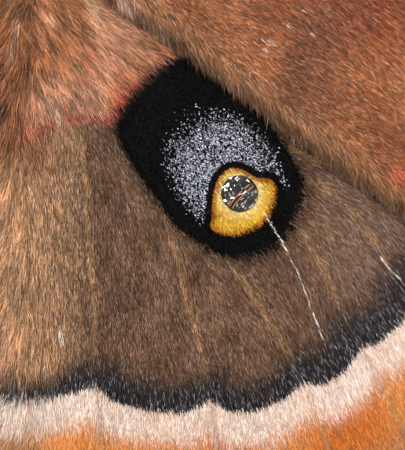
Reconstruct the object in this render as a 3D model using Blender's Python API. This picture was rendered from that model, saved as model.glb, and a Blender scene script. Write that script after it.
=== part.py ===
"""A life-size polyphemus moth, a male at rest with its wings spread flat over the floor.

Metres, +Z up, the head towards +Y and the moth's right side at +X. Lists of places are in millimetres,
as a set specimen is measured, and MM brings them to metres.
"""

import math
import random

import bmesh
import bpy
from mathutils import Vector
from mathutils.geometry import delaunay_2d_cdt

MM = 0.001
GAP = 0.3
SIDES = {"right": 1.0, "left": -1.0}
UP = Vector((0.0, 0.0, 1.0))

# Wings: one height field carries all four, and the forewings lie over the hindwings
WING_THICK = 0.5
FORE_LIFT = 1.1
WING_LEVEL = 8.6
WING_DROOP = 4.4
HIND_DROOP = 1.2
HIND_DROOP_START = 10.0
HIND_DROOP_RUN = 37.0
BODY_EDGE_X = 5.0
WING_REACH = 61.0
RIM_STEP = 2.8
VEIN_STEP = 4.6
VEIN_FOOT = 0.5
VEIN_RISE = 0.16
FILL_STEP = 6.5

FORE_OUTLINE = [
    (3.7, 4.4), (8.0, 6.9), (14.0, 9.9), (23.0, 13.6), (34.0, 16.4), (45.0, 17.5), (55.0, 16.4),
    (62.5, 13.7), (66.3, 10.2), (65.8, 6.9), (62.0, 2.2), (57.2, -4.2), (53.0, -11.0), (48.8, -18.2),
    (44.6, -24.0), (41.4, -26.0), (37.0, -23.8), (30.0, -19.2), (22.0, -13.2), (14.0, -7.3),
    (8.0, -3.4), (3.7, -1.2),
]
HIND_OUTLINE = [
    (3.7, -1.6), (9.0, -1.2), (18.0, -2.4), (28.0, -5.2), (37.0, -9.4), (43.0, -14.4), (45.7, -20.6),
    (45.0, -28.0), (41.0, -35.6), (35.0, -41.6), (27.6, -45.7), (20.0, -47.2), (12.8, -46.0),
    (7.6, -42.4), (5.6, -36.0), (5.3, -27.0), (5.6, -17.0), (5.4, -10.5), (3.7, -6.4),
]
FORE_VEINS = {
    "subcosta": [(9.0, 6.2), (22.0, 11.6), (37.0, 14.8), (49.0, 15.2), (56.0, 14.6)],
    "radius": [(9.0, 4.2), (20.0, 7.9), (31.0, 10.2), (45.0, 12.0), (60.5, 11.8)],
    "radius_fork": [(31.0, 9.9), (45.0, 8.6), (64.0, 6.6)],
    "media_1": [(32.8, 7.0), (46.0, 4.8), (60.0, 1.4)],
    "media_2": [(33.6, 4.0), (46.0, 0.3), (56.0, -4.4)],
    "media_3": [(32.6, 0.2), (43.0, -4.8), (52.2, -10.6)],
    "cubitus_1": [(29.6, -1.8), (39.0, -8.4), (48.8, -16.2)],
    "cubitus_2": [(22.6, -1.5), (33.0, -10.6), (45.0, -22.4)],
    "cubitus_stem": [(9.0, 1.4), (18.0, -0.2), (25.5, -1.8), (32.4, 0.0)],
    "cell_end": [(31.6, 9.8), (33.4, 7.0), (33.6, 4.0), (32.6, 0.2)],
    "anal": [(9.0, -2.0), (20.0, -9.7), (31.0, -17.9), (40.2, -24.4)],
}
HIND_VEINS = {
    "subcosta": [(10.0, -3.0), (22.0, -5.2), (34.0, -10.0), (43.4, -17.4)],
    "radial_stem": [(10.0, -6.2), (17.6, -11.6), (26.0, -17.6)],
    "radial_branch": [(17.6, -11.6), (30.0, -15.6), (44.5, -22.6)],
    "media_1": [(26.0, -17.6), (34.0, -21.4), (44.2, -28.6)],
    "media_2": [(25.6, -18.6), (31.1, -22.4), (35.0, -27.6), (41.0, -34.6)],
    "media_3": [(24.4, -20.8), (27.8, -24.3), (30.9, -30.1), (36.0, -40.0)],
    "cubitus_1": [(20.2, -23.2), (22.8, -26.6), (25.2, -30.1), (27.8, -34.9), (31.0, -43.2)],
    "cubitus_2": [(14.6, -16.2), (17.5, -21.7), (19.7, -29.6), (21.2, -36.2), (22.2, -46.0)],
    "cubitus_stem": [(8.4, -7.8), (14.6, -16.2), (20.2, -23.2)],
    "cell_end": [(20.2, -23.2), (22.3, -21.9), (24.4, -20.8), (26.0, -17.6)],
    "anal_2": [(7.6, -9.2), (11.6, -16.7), (12.6, -25.0), (13.1, -35.1), (13.6, -45.0)],
    "anal_3": [(6.6, -12.0), (8.0, -22.0), (8.0, -34.0), (9.0, -42.2)],
}

# The body is a row of rings along Y: place, height of the middle, half width and half height.
# The thorax's and head's rings follow the tips of their coat, and the core lies deeper.
THORAX_RINGS = [
    (8.6, 7.5, 2.7, 2.6), (7.8, 7.4, 4.2, 3.8), (5.6, 7.3, 5.3, 4.8), (2.4, 7.3, 6.0, 5.3),
    (-1.6, 7.2, 6.1, 5.2), (-5.2, 7.0, 5.5, 4.8), (-7.8, 6.6, 4.6, 4.1), (-8.8, 6.4, 3.2, 3.0),
]
ABDOMEN_RINGS = [
    (-6.8, 6.2, 2.4, 2.4), (-7.6, 6.0, 3.6, 3.5), (-10.4, 5.6, 4.2, 4.0), (-14.0, 5.0, 4.4, 4.2),
    (-17.6, 4.5, 4.3, 4.1), (-21.0, 3.7, 3.9, 3.75), (-24.0, 2.9, 3.4, 3.3), (-26.6, 2.1, 2.7, 2.5),
    (-28.2, 1.6, 1.7, 1.6), (-28.8, 1.4, 0.8, 0.9),
]
HEAD_RINGS = [
    (7.0, 7.2, 1.2, 1.2), (8.2, 7.2, 2.2, 2.0), (9.8, 7.1, 2.6, 2.3), (11.4, 6.9, 2.5, 2.2),
    (12.6, 6.6, 1.9, 1.8), (13.4, 6.4, 1.1, 1.1), (13.8, 6.3, 0.5, 0.5),
]
PALP_RINGS = [
    (11.6, 5.3, 0.6, 0.6), (12.8, 5.1, 0.8, 0.7), (14.0, 5.3, 0.65, 0.6), (14.8, 5.6, 0.3, 0.3),
]
PALP_X = 0.8
PALP_SIDES = 8
BODY_SIDES = 18
RING_PIECES = 2
SEGMENT_EDGES = [-10.6, -13.6, -16.6, -19.5, -22.2, -24.6]
SEGMENT_LIP = 0.28
SEGMENT_STEP = 0.4
EYE_RADIUS = 1.3
EYE_PLACE = (2.1, 10.7, 6.8)

# Locks of the coat: flat, tapered and bent back onto the body. Each kind has its length, its width and
# its tips' height over the core. Turns are in degrees up from the body's side.
THORAX_RISE = 1.1
TAIL_RISE = 0.5
HEAD_RISE = 0.5
COLLAR_LOCK = (1.8, 1.5, THORAX_RISE)
BACK_LOCK = (4.2, 1.5, THORAX_RISE)
BELLY_LOCK = (3.8, 2.0, THORAX_RISE)
FLANK_LOCK = (3.8, 1.6, THORAX_RISE)
CROWN_LOCK = (1.9, 1.3, HEAD_RISE)
TAIL_LOCK = (2.6, 1.2, TAIL_RISE)
LOCK_SUNK = 0.8
LOCK_THICK = 0.55
LOCK_SPREAD = 0.18
COLLAR_ROWS = [6.9]
BACK_ROWS = [6.6, 4.7, 2.8, 0.9, -1.0, -2.9, -4.8, -6.6]
BACK_TURNS = [46, 61, 76, 91, 106, 121, 136]
FLANK_ROWS = [4.4, 1.6, -1.2, -4.0]
FLANK_TURNS = [-30, -13, 4]
BELLY_ROWS = [4.2, 1.4, -1.4, -4.2]
BELLY_TURNS = [-112, -90, -68]
CROWN_ROWS = [9.0, 10.6]
CROWN_TURNS = [50, 70, 90, 110, 130]
TAIL_ROWS = [-25.4, -26.8]
TAIL_TURNS = [-8, 15, 38, 61, 84, 107, 130, 153, 176]

# Feelers: the shaft's line, the half width of its two combs, and the rays that make them
FEELER_LINE = [(1.2, 11.6, 7.9), (2.4, 13.8, 8.7), (5.0, 17.0, 9.4), (8.4, 20.2, 9.6), (11.6, 22.6, 9.2)]
FEELER_WIDTHS = [0.5, 2.6, 3.5, 2.9, 0.6]
SHAFT_RADII = [0.42, 0.4, 0.36, 0.31, 0.26]
RAY_COUNT = 14
RAY_START = 0.13
RAY_END = 0.97
RAY_RADII = [0.32, 0.28]
RAY_SLANT = 0.55
RAY_DROOP = 0.12

# Legs: joints from the coxa to the claws, and the radius at each
LEG_LINES = {
    "front": [
        (2.0, 6.0, 5.0), (3.6, 7.6, 2.9), (6.8, 11.0, 5.2), (8.4, 14.0, 1.9), (9.0, 15.6, 0.5),
        (9.9, 19.0, 0.4),
    ],
    "middle": [
        (2.8, 1.4, 5.0), (5.2, 1.7, 2.9), (10.4, 2.8, 5.4), (13.8, 3.4, 1.9), (15.4, 3.9, 0.5),
        (18.8, 4.8, 0.4),
    ],
    "hind": [
        (2.8, -3.2, 5.0), (5.2, -4.4, 2.9), (9.8, -9.2, 5.4), (12.4, -12.6, 1.9), (13.2, -14.2, 0.5),
        (14.6, -17.4, 0.4),
    ],
}
LEG_RADII = [1.15, 1.05, 0.85, 0.7, 0.55, 0.5]
LEG_SIDES = 8


# Materials and meshes


def material(name, colour, roughness):
    made = bpy.data.materials.new(name)
    made.use_nodes = True
    shader = made.node_tree.nodes["Principled BSDF"]
    shader.inputs["Base Color"].default_value = (*colour, 1.0)
    shader.inputs["Roughness"].default_value = roughness
    return made


def solid(name, points, faces, finish):
    """One named mesh object from points in millimetres, its faces turned outwards."""
    mesh = bpy.data.meshes.new(name)
    mesh.from_pydata([Vector(p) * MM for p in points], [], faces)
    mesh.materials.append(finish)
    shape = bmesh.new()
    shape.from_mesh(mesh)
    bmesh.ops.recalc_face_normals(shape, faces=shape.faces)
    shape.to_mesh(mesh)
    shape.free()
    mesh.shade_smooth()
    mesh.set_sharp_from_angle(angle=math.radians(40))
    made = bpy.data.objects.new(name, mesh)
    bpy.context.scene.collection.objects.link(made)
    return made


def above_floor(point):
    return (point[0], point[1], max(0.0, point[2]))


def lofted(name, rings, finish, tip=None):
    """Joins rings of points into one closed body. It ends flat, or in a point at the tip."""
    sides = len(rings[0])
    points = [above_floor(point) for ring in rings for point in ring]
    faces = [tuple(range(sides))]
    for ring in range(len(rings) - 1):
        for k in range(sides):
            a = ring * sides + k
            b = ring * sides + (k + 1) % sides
            faces.append((a, b, b + sides, a + sides))
    last = (len(rings) - 1) * sides
    if tip is None:
        faces.append(tuple(range(last, last + sides)))
    else:
        points.append(above_floor(tip))
        faces += [(last + k, last + (k + 1) % sides, last + sides) for k in range(sides)]
    return solid(name, points, faces, finish)


def swept(name, line, halves, sides, finish, deep_way=UP, pointed=False):
    """A closed body swept along a line. halves has each ring's half width and half depth."""
    rings = []
    for i, (wide, deep) in enumerate(halves):
        run = (line[min(i + 1, len(line) - 1)] - line[max(i - 1, 0)]).normalized()
        across = run.cross(deep_way).normalized()
        up = across.cross(run)
        turns = [2 * math.pi * (k + 0.5) / sides for k in range(sides)]
        rings.append([line[i] + across * wide * math.cos(t) + up * deep * math.sin(t) for t in turns])
    return lofted(name, rings, finish, line[-1] if pointed else None)


def boolean(target, pieces, operation):
    """Joins the pieces to the target or cuts them from it, removes them and drops any loose scrap."""
    helpers = bpy.data.collections.new("helpers")
    for piece in pieces:
        helpers.objects.link(piece)
    modifier = target.modifiers.new(operation, "BOOLEAN")
    modifier.operation = operation
    modifier.operand_type = "COLLECTION"
    modifier.collection = helpers
    modifier.solver = "EXACT"
    shown = bpy.context.evaluated_depsgraph_get()
    result = bpy.data.meshes.new_from_object(target.evaluated_get(shown))
    target.modifiers.remove(modifier)
    target.data = result
    for piece in pieces:
        bpy.data.objects.remove(piece)
    bpy.data.collections.remove(helpers)
    keep_largest(result)


def keep_largest(mesh):
    """Leaves only the closed surface with the most room in it."""
    shape = bmesh.new()
    shape.from_mesh(mesh)
    unseen = set(shape.faces)
    best = []
    most = 0.0
    while unseen:
        todo = [unseen.pop()]
        surface = list(todo)
        while todo:
            for edge in todo.pop().edges:
                for face in edge.link_faces:
                    if face in unseen:
                        unseen.discard(face)
                        todo.append(face)
                        surface.append(face)
        room = abs(sum(face.calc_center_median().dot(face.normal) * face.calc_area() for face in surface))
        if room > most:
            best, most = surface, room
    kept = set(best)
    bmesh.ops.delete(shape, geom=[face for face in shape.faces if face not in kept], context="FACES")
    shape.to_mesh(mesh)
    shape.free()


# Lines


def smooth_line(points, pieces, closed=False):
    """A Catmull-Rom curve through the points, with this many pieces between two of them."""
    points = [Vector(p) for p in points]
    count = len(points)
    line = []
    for i in range(count if closed else count - 1):
        if closed:
            before, start, end, after = (points[(i + k) % count] for k in (-1, 0, 1, 2))
        else:
            start, end = points[i], points[i + 1]
            before = points[i - 1] if i > 0 else start * 2 - end
            after = points[i + 2] if i + 2 < count else end * 2 - start
        for k in range(pieces):
            t = k / pieces
            linear = (end - before) * t
            square = (before * 2 - start * 5 + end * 4 - after) * t**2
            cube = (start * 3 - before - end * 3 + after) * t**3
            line.append((start * 2 + linear + square + cube) * 0.5)
    if not closed:
        line.append(points[-1])
    return line


def evenly(line, step, closed=False):
    """The line again, as points about this far apart."""
    if closed:
        line = [*line, line[0]]
    lengths = [0.0]
    for a, b in zip(line, line[1:]):
        lengths.append(lengths[-1] + (b - a).length)
    count = max(2, round(lengths[-1] / step))
    spaced = []
    k = 0
    for i in range(count if closed else count + 1):
        wanted = lengths[-1] * i / count
        while k < len(line) - 2 and lengths[k + 1] < wanted:
            k += 1
        share = (wanted - lengths[k]) / max(lengths[k + 1] - lengths[k], 1e-9)
        spaced.append(line[k].lerp(line[k + 1], min(share, 1.0)))
    return spaced


def along(line, share):
    """The point at a share of a line's points, from 0 to 1."""
    place = share * (len(line) - 1)
    first = min(int(place), len(line) - 2)
    return line[first].lerp(line[first + 1], place - first)


def beside(line, off, closed=False):
    """The line moved sideways, to its left."""
    moved = []
    for i, point in enumerate(line):
        if closed:
            run = line[(i + 1) % len(line)] - line[i - 1]
        else:
            run = line[min(i + 1, len(line) - 1)] - line[max(i - 1, 0)]
        moved.append(point + Vector((-run.y, run.x)).normalized() * off)
    return moved


def inside(point, outline):
    """Whether a flat point lies inside a closed outline."""
    found = False
    for a, b in zip(outline, [*outline[1:], outline[0]]):
        if (a.y > point.y) != (b.y > point.y):
            if point.x < (b.x - a.x) * (point.y - a.y) / (b.y - a.y) + a.x:
                found = not found
    return found


def distance_to(point, line):
    """How far a flat point is from a line of points."""
    least = math.inf
    for a, b in zip(line, line[1:]):
        run = b - a
        share = max(0.0, min(1.0, (point - a).dot(run) / max(run.length_squared, 1e-12)))
        least = min(least, (point - a - run * share).length)
    return least


# Wings


def wing_level(x, y):
    """The height of the wings' shared middle surface above the floor."""
    out = max(0.0, (x - BODY_EDGE_X) / WING_REACH)
    back = max(0.0, min(1.0, (-y - HIND_DROOP_START) / HIND_DROOP_RUN))
    return WING_LEVEL - WING_DROOP * out**1.5 - HIND_DROOP * back**2


def wing_plan(outline, veins, grow=0.0):
    """The wing seen from above: its flat points, its triangles and each point's ridge height."""
    rim = evenly(smooth_line(outline, 6, closed=True), RIM_STEP, closed=True)
    rim = beside(rim, grow, closed=True)
    closed_rim = [*rim, rim[0]]
    crests = [evenly(smooth_line(line, 5), VEIN_STEP) for line in veins.values()]
    points = list(rim)
    edges = [(i, (i + 1) % len(rim)) for i in range(len(rim))]
    for crest in crests:
        for line in (crest, beside(crest, VEIN_FOOT), beside(crest, -VEIN_FOOT)):
            edges += [(len(points) + i, len(points) + i + 1) for i in range(len(line) - 1)]
            points += line
    clearance = 0.4 * FILL_STEP
    corner = Vector((min(p.x for p in rim), min(p.y for p in rim)))
    reach = Vector((max(p.x for p in rim), max(p.y for p in rim))) - corner
    for row in range(int(reach.y / FILL_STEP) + 1):
        for column in range(int(reach.x / FILL_STEP) + 1):
            spot = corner + Vector((column + 0.5 * (row % 2), row + 0.5)) * FILL_STEP
            clear = all(distance_to(spot, line) > clearance for line in [closed_rim, *crests])
            if clear and inside(spot, rim):
                points.append(spot)
    flat, _, triangles, *_ = delaunay_2d_cdt(points, edges, [list(range(len(rim)))], 1, 1e-4)
    rises = []
    for point in flat:
        near = min((distance_to(point, crest) for crest in crests), default=math.inf)
        rises.append(VEIN_RISE * max(0.0, 1.0 - near / VEIN_FOOT))
    return flat, triangles, rises


def wing(name, plan, side, lift, finish, grow=0.0):
    """A membrane with its veins raised on both faces, both faces split into the same triangles."""
    flat, triangles, rises = plan
    half = WING_THICK / 2 + grow
    top = []
    bottom = []
    for point, rise in zip(flat, rises):
        level = wing_level(point.x, point.y) + lift
        top.append((side * point.x, point.y, level + half + rise))
        bottom.append((side * point.x, point.y, level - half - rise))
    count = len(flat)
    faces = []
    directed = set()
    for a, b, c in triangles:
        faces += [(a, b, c), (c + count, b + count, a + count)]
        directed |= {(a, b), (b, c), (c, a)}
    faces += [(b, a, a + count, b + count) for a, b in sorted(directed) if (b, a) not in directed]
    return solid(name, top + bottom, faces, finish)


# Body


def body(name, line, sides, finish, middle_x=0.0, grow=0.0):
    """A closed body from a line of rings along Y."""
    rings = []
    for y, z, wide, high in line:
        turns = [2 * math.pi * k / sides for k in range(sides)]
        rings.append(
            [(middle_x + (wide + grow) * math.cos(t), y, z + (high + grow) * math.sin(t)) for t in turns]
        )
    return lofted(name, rings, finish)


def segmented(line):
    """The abdomen's rings with a lip at the rear edge of each segment, stepping in behind it."""
    rings = [ring for ring in line if ring[0] > SEGMENT_EDGES[0] + 1.0]
    for edge in SEGMENT_EDGES:
        lip = ring_at(line, edge + SEGMENT_STEP)
        lip[2] += SEGMENT_LIP
        lip[3] += SEGMENT_LIP
        rings += [lip, ring_at(line, edge)]
    return rings + [ring for ring in line if ring[0] < SEGMENT_EDGES[-1] - 1.0]


def ring_at(line, y):
    """The ring of a body's line at this place along Y."""
    for ring, behind in zip(line, line[1:]):
        if ring[0] >= y >= behind[0] or ring[0] <= y <= behind[0]:
            return ring.lerp(behind, (y - ring[0]) / (behind[0] - ring[0]))
    return line[-1].copy()


def surface(line, y, turn, depth):
    """A point under a body's surface by this depth, and the ways out of the body and back along it."""

    def at(y, turn):
        ring = ring_at(line, y)
        return Vector(((ring[2] - depth) * math.cos(turn), y, ring[1] + (ring[3] - depth) * math.sin(turn)))

    here = at(y, turn)
    back = (at(y - 0.2, turn) - here).normalized()
    around = (at(y, turn + 0.05) - here).normalized()
    return here, around.cross(back), back


def lock(root, out, lie, long, wide, rise, finish):
    """One flat tapered tuft, its root sunk in the body and its tip bent back onto the coat."""
    line = [
        root - out * LOCK_SUNK,
        root + lie * 0.35 * long + out * 0.7 * rise,
        root + lie * 0.7 * long + out * rise,
        root + lie * long + out * 0.85 * rise,
    ]
    halves = [(0.6 * wide, 0.7 * LOCK_THICK), (0.7 * wide, 0.7 * LOCK_THICK), (0.4 * wide, 0.6 * LOCK_THICK)]
    return swept("lock", line, halves, 4, finish, out, pointed=True)


def locks(line, rows, turns, kind, finish, seed, way=1.0):
    """Rows of locks over a body, each row set between the locks of the one before."""
    long, wide, rise = kind
    dice = random.Random(seed)
    step = turns[1] - turns[0]
    made = []
    for number, y in enumerate(rows):
        for turn in turns[: len(turns) - number % 2]:
            turned = math.radians(turn + 0.5 * step * (number % 2))
            root, out, back = surface(line, y, turned, rise)
            lie = (back * way + out.cross(back) * dice.uniform(-LOCK_SPREAD, LOCK_SPREAD)).normalized()
            grown = dice.uniform(0.88, 1.12)
            lifted = rise * dice.uniform(0.9, 1.0)
            made.append(lock(root, out, lie, long * grown, wide * grown, lifted, finish))
    return made


def eye(name, side, finish, grow=0.0):
    shape = bmesh.new()
    bmesh.ops.create_icosphere(shape, subdivisions=2, radius=EYE_RADIUS + grow)
    x, y, z = EYE_PLACE
    points = [(v.co.x + side * x, v.co.y + y, v.co.z + z) for v in shape.verts]
    faces = [tuple(v.index for v in f.verts) for f in shape.faces]
    shape.free()
    return solid(name, points, faces, finish)


# Feelers and legs


def mirrored(points, side):
    return [(side * x, y, z) for x, y, z in points]


def feeler_shaft(name, side, finish, grow=0.0):
    line = smooth_line(mirrored(FEELER_LINE, side), 3)
    radii = smooth_line([Vector((radius, radius)) for radius in SHAFT_RADII], 3)
    return swept(name, line, [(r.x + grow, r.y + grow) for r in radii], 6, finish)


def feeler(name, side, finish):
    """A shaft with a comb of tapered rays along each edge, slanting to its tip."""
    shaft = feeler_shaft(name, side, finish)
    line = smooth_line(mirrored(FEELER_LINE, side), 12)
    widths = smooth_line([Vector((width, 0.0)) for width in FEELER_WIDTHS], 12)
    rays = []
    for comb in (1.0, -1.0):
        for k in range(RAY_COUNT):
            place = RAY_START + (RAY_END - RAY_START) * (k + (0.0 if comb > 0 else 0.5)) / RAY_COUNT
            root = along(line, place)
            run = (along(line, min(1.0, place + 0.02)) - root).normalized()
            across = run.cross(UP).normalized() * comb
            reach = along(widths, place).x
            ray = [
                root,
                root + across * 0.5 * reach + run * 0.5 * RAY_SLANT * reach,
                root + across * reach + run * 1.2 * RAY_SLANT * reach - UP * RAY_DROOP * reach,
            ]
            rays.append(swept("ray", ray, [(r, r) for r in RAY_RADII], 4, finish, pointed=True))
    boolean(shaft, rays, "UNION")


def leg(name, which, side, finish, grow=0.0):
    """Coxa, femur, tibia and foot in one bent limb, its foot lying flat on the floor."""
    line = smooth_line(mirrored(LEG_LINES[which], side), 3)
    radii = smooth_line([Vector((radius, radius)) for radius in LEG_RADII], 3)
    return swept(name, line, [(r.x + grow, r.y + grow) for r in radii], LEG_SIDES, finish)


# The moth


def make_wings(finish):
    """All four wings. Returns the room that the thorax keeps for their roots."""
    rooms = []
    for pair, outline, veins, lift in (
        ("fore", FORE_OUTLINE, FORE_VEINS, FORE_LIFT),
        ("hind", HIND_OUTLINE, HIND_VEINS, 0.0),
    ):
        plan = wing_plan(outline, veins)
        room_plan = wing_plan(outline, {}, grow=GAP)
        for word, side in SIDES.items():
            wing(f"wing_{pair}_{word}", plan, side, lift, finish)
            rooms.append(wing("wing_room", room_plan, side, lift, finish, grow=GAP))
    return rooms


def make_legs(finish):
    """All six legs. Returns the room that the thorax keeps for them."""
    rooms = []
    for word, side in SIDES.items():
        for which in LEG_LINES:
            leg(f"leg_{which}_{word}", which, side, finish)
            rooms.append(leg("leg_room", which, side, finish, grow=GAP))
    return rooms


def make_head(fur, horn, lens):
    """The head with its palps and crown locks, both eyes and both feelers."""
    line = smooth_line(HEAD_RINGS, RING_PIECES)
    head = body("head", line, BODY_SIDES, fur)
    forms = locks(line, CROWN_ROWS, CROWN_TURNS, CROWN_LOCK, fur, seed=5, way=-1.0)
    rooms = []
    for word, side in SIDES.items():
        palp = smooth_line(PALP_RINGS, 1)
        forms.append(body("palp", palp, PALP_SIDES, fur, middle_x=side * PALP_X))
        eye(f"eye_{word}", side, lens)
        feeler(f"feeler_{word}", side, horn)
        rooms.append(eye("eye_room", side, lens, grow=GAP))
        rooms.append(feeler_shaft("feeler_room", side, horn, grow=GAP))
    boolean(head, forms, "UNION")
    boolean(head, rooms, "DIFFERENCE")
    return body("head_room", line, BODY_SIDES, fur, grow=GAP)


def make_abdomen(fur):
    """The abdomen with its segments and the tuft over its end."""
    line = smooth_line(ABDOMEN_RINGS, RING_PIECES)
    abdomen = body("abdomen", segmented(line), BODY_SIDES, fur)
    tuft = locks(line, TAIL_ROWS, TAIL_TURNS, TAIL_LOCK, fur, seed=3)
    boolean(abdomen, tuft, "UNION")
    return body("abdomen_room", line, BODY_SIDES, fur, grow=GAP)


def make_thorax(fur, rooms):
    """The thorax: a core under woolly locks, with room for all that grows from it."""
    line = smooth_line(THORAX_RINGS, RING_PIECES)
    thorax = body("thorax", line, BODY_SIDES, fur, grow=-THORAX_RISE)
    coat = locks(line, COLLAR_ROWS, BACK_TURNS, COLLAR_LOCK, fur, seed=1, way=-1.0)
    coat += locks(line, BACK_ROWS, BACK_TURNS, BACK_LOCK, fur, seed=2)
    coat += locks(line, BELLY_ROWS, BELLY_TURNS, BELLY_LOCK, fur, seed=3)
    for turns in (FLANK_TURNS, [180 - turn for turn in reversed(FLANK_TURNS)]):
        coat += locks(line, FLANK_ROWS, turns, FLANK_LOCK, fur, seed=4)
    boolean(thorax, coat, "UNION")
    boolean(thorax, rooms, "DIFFERENCE")


def centre_on_base():
    """Moves the moth along Y so that its origin is under the middle of its box."""
    places = [vertex.co.y for made in bpy.context.scene.objects for vertex in made.data.vertices]
    middle = (min(places) + max(places)) / 2
    for made in bpy.context.scene.objects:
        made.location.y -= middle


def main():
    for old in list(bpy.data.objects):
        bpy.data.objects.remove(old)
    wing_scales = material("wing_scales", (0.42, 0.25, 0.14), 0.8)
    fur = material("body_fur", (0.45, 0.27, 0.15), 0.9)
    leg_fur = material("leg_fur", (0.36, 0.2, 0.11), 0.85)
    horn = material("feeler_horn", (0.5, 0.33, 0.16), 0.6)
    lens = material("eye_lens", (0.03, 0.02, 0.015), 0.15)
    rooms = make_wings(wing_scales) + make_legs(leg_fur)
    rooms += [make_head(fur, horn, lens), make_abdomen(fur)]
    make_thorax(fur, rooms)
    centre_on_base()


main()
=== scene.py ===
import math

import bmesh
import bpy
import numpy as np
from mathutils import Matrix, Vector
from mathutils.geometry import delaunay_2d_cdt


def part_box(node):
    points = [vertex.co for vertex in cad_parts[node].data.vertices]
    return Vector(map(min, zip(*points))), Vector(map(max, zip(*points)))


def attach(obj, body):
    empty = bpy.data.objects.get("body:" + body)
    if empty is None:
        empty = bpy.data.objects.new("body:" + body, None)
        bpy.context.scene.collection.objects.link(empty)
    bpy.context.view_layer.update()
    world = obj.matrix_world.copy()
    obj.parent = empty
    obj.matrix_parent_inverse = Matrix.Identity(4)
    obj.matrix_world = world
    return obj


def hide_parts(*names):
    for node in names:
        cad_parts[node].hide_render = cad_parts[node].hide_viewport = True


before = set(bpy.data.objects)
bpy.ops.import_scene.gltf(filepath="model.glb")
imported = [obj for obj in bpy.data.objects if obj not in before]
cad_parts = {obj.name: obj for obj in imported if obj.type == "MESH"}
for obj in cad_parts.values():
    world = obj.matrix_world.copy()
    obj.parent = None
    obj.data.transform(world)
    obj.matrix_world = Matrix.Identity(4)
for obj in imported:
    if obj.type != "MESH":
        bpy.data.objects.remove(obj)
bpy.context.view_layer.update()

# The camera looks straight down on the right hindwing, as the photograph does. The floor is a plain pale
# sheet, and the light is one broad soft lamp from the head's side, a lower one opposite and a pale room.
# Places are in millimetres from the middle of the thorax, which lies AHEAD of the frame's own middle.
MM = 0.001
PALP_TIP = 14.8
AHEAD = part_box("head")[1].y / MM - PALP_TIP
VIEW_MIDDLE = (20.58, -23.5)
VIEW_LONG_SIDE = 32.14
WING_HEIGHT_IN_VIEW = 7.9
LENS = 150.0
SENSOR = 36.0
FLOOR_HALF = 400.0
LAMPS = {
    "lamp_soft": {"place": (-190.0, 240.0, 330.0), "size": 0.16, "watts": 3.1},
    "lamp_low": {"place": (260.0, -200.0, 200.0), "size": 0.2, "watts": 0.5},
}
ROOM_LIGHT = 0.2


def set_place(x, y, z):
    """A place in millimetres, from the middle of the thorax, in the frame's metres."""
    return Vector((x, y + AHEAD, z)) * MM


camera = bpy.data.objects.new("camera", bpy.data.cameras.new("camera"))
camera.data.lens = LENS
camera.data.sensor_width = SENSOR
camera.data.clip_start = 0.01
above_wing = VIEW_LONG_SIDE / 2 * LENS / (SENSOR / 2)
camera.location = set_place(*VIEW_MIDDLE, WING_HEIGHT_IN_VIEW + above_wing)
bpy.context.scene.collection.objects.link(camera)
bpy.context.scene.camera = camera

for name, lamp in LAMPS.items():
    light = bpy.data.lights.new(name, "AREA")
    light.size = lamp["size"]
    light.energy = lamp["watts"]
    hung = bpy.data.objects.new(name, light)
    hung.location = set_place(*lamp["place"])
    hung.rotation_mode = "QUATERNION"
    hung.rotation_quaternion = (set_place(*VIEW_MIDDLE, 0.0) - hung.location).to_track_quat("-Z", "Y")
    bpy.context.scene.collection.objects.link(hung)

room = bpy.data.worlds.new("room")
room.use_nodes = True
room.node_tree.nodes["Background"].inputs["Color"].default_value = (1.0, 0.98, 0.95, 1.0)
room.node_tree.nodes["Background"].inputs["Strength"].default_value = ROOM_LIGHT
bpy.context.scene.world = room
bpy.context.scene.view_settings.view_transform = "Standard"


class Shade:
    """A socket of a finish's nodes. Sums and products of it add their Math nodes."""

    def __init__(self, finish, socket):
        self.finish = finish
        self.socket = socket

    def __add__(self, other):
        return self.finish.math("ADD", self, other)

    def __sub__(self, other):
        return self.finish.math("SUBTRACT", self, other)

    def __rsub__(self, other):
        return self.finish.math("SUBTRACT", other, self)

    def __mul__(self, other):
        return self.finish.math("MULTIPLY", self, other)

    def __truediv__(self, other):
        return self.finish.math("DIVIDE", self, other)

    def __lt__(self, other):
        return self.finish.math("LESS_THAN", self, other)

    def __gt__(self, other):
        return self.finish.math("GREATER_THAN", self, other)

    __radd__ = __add__
    __rmul__ = __mul__


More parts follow.
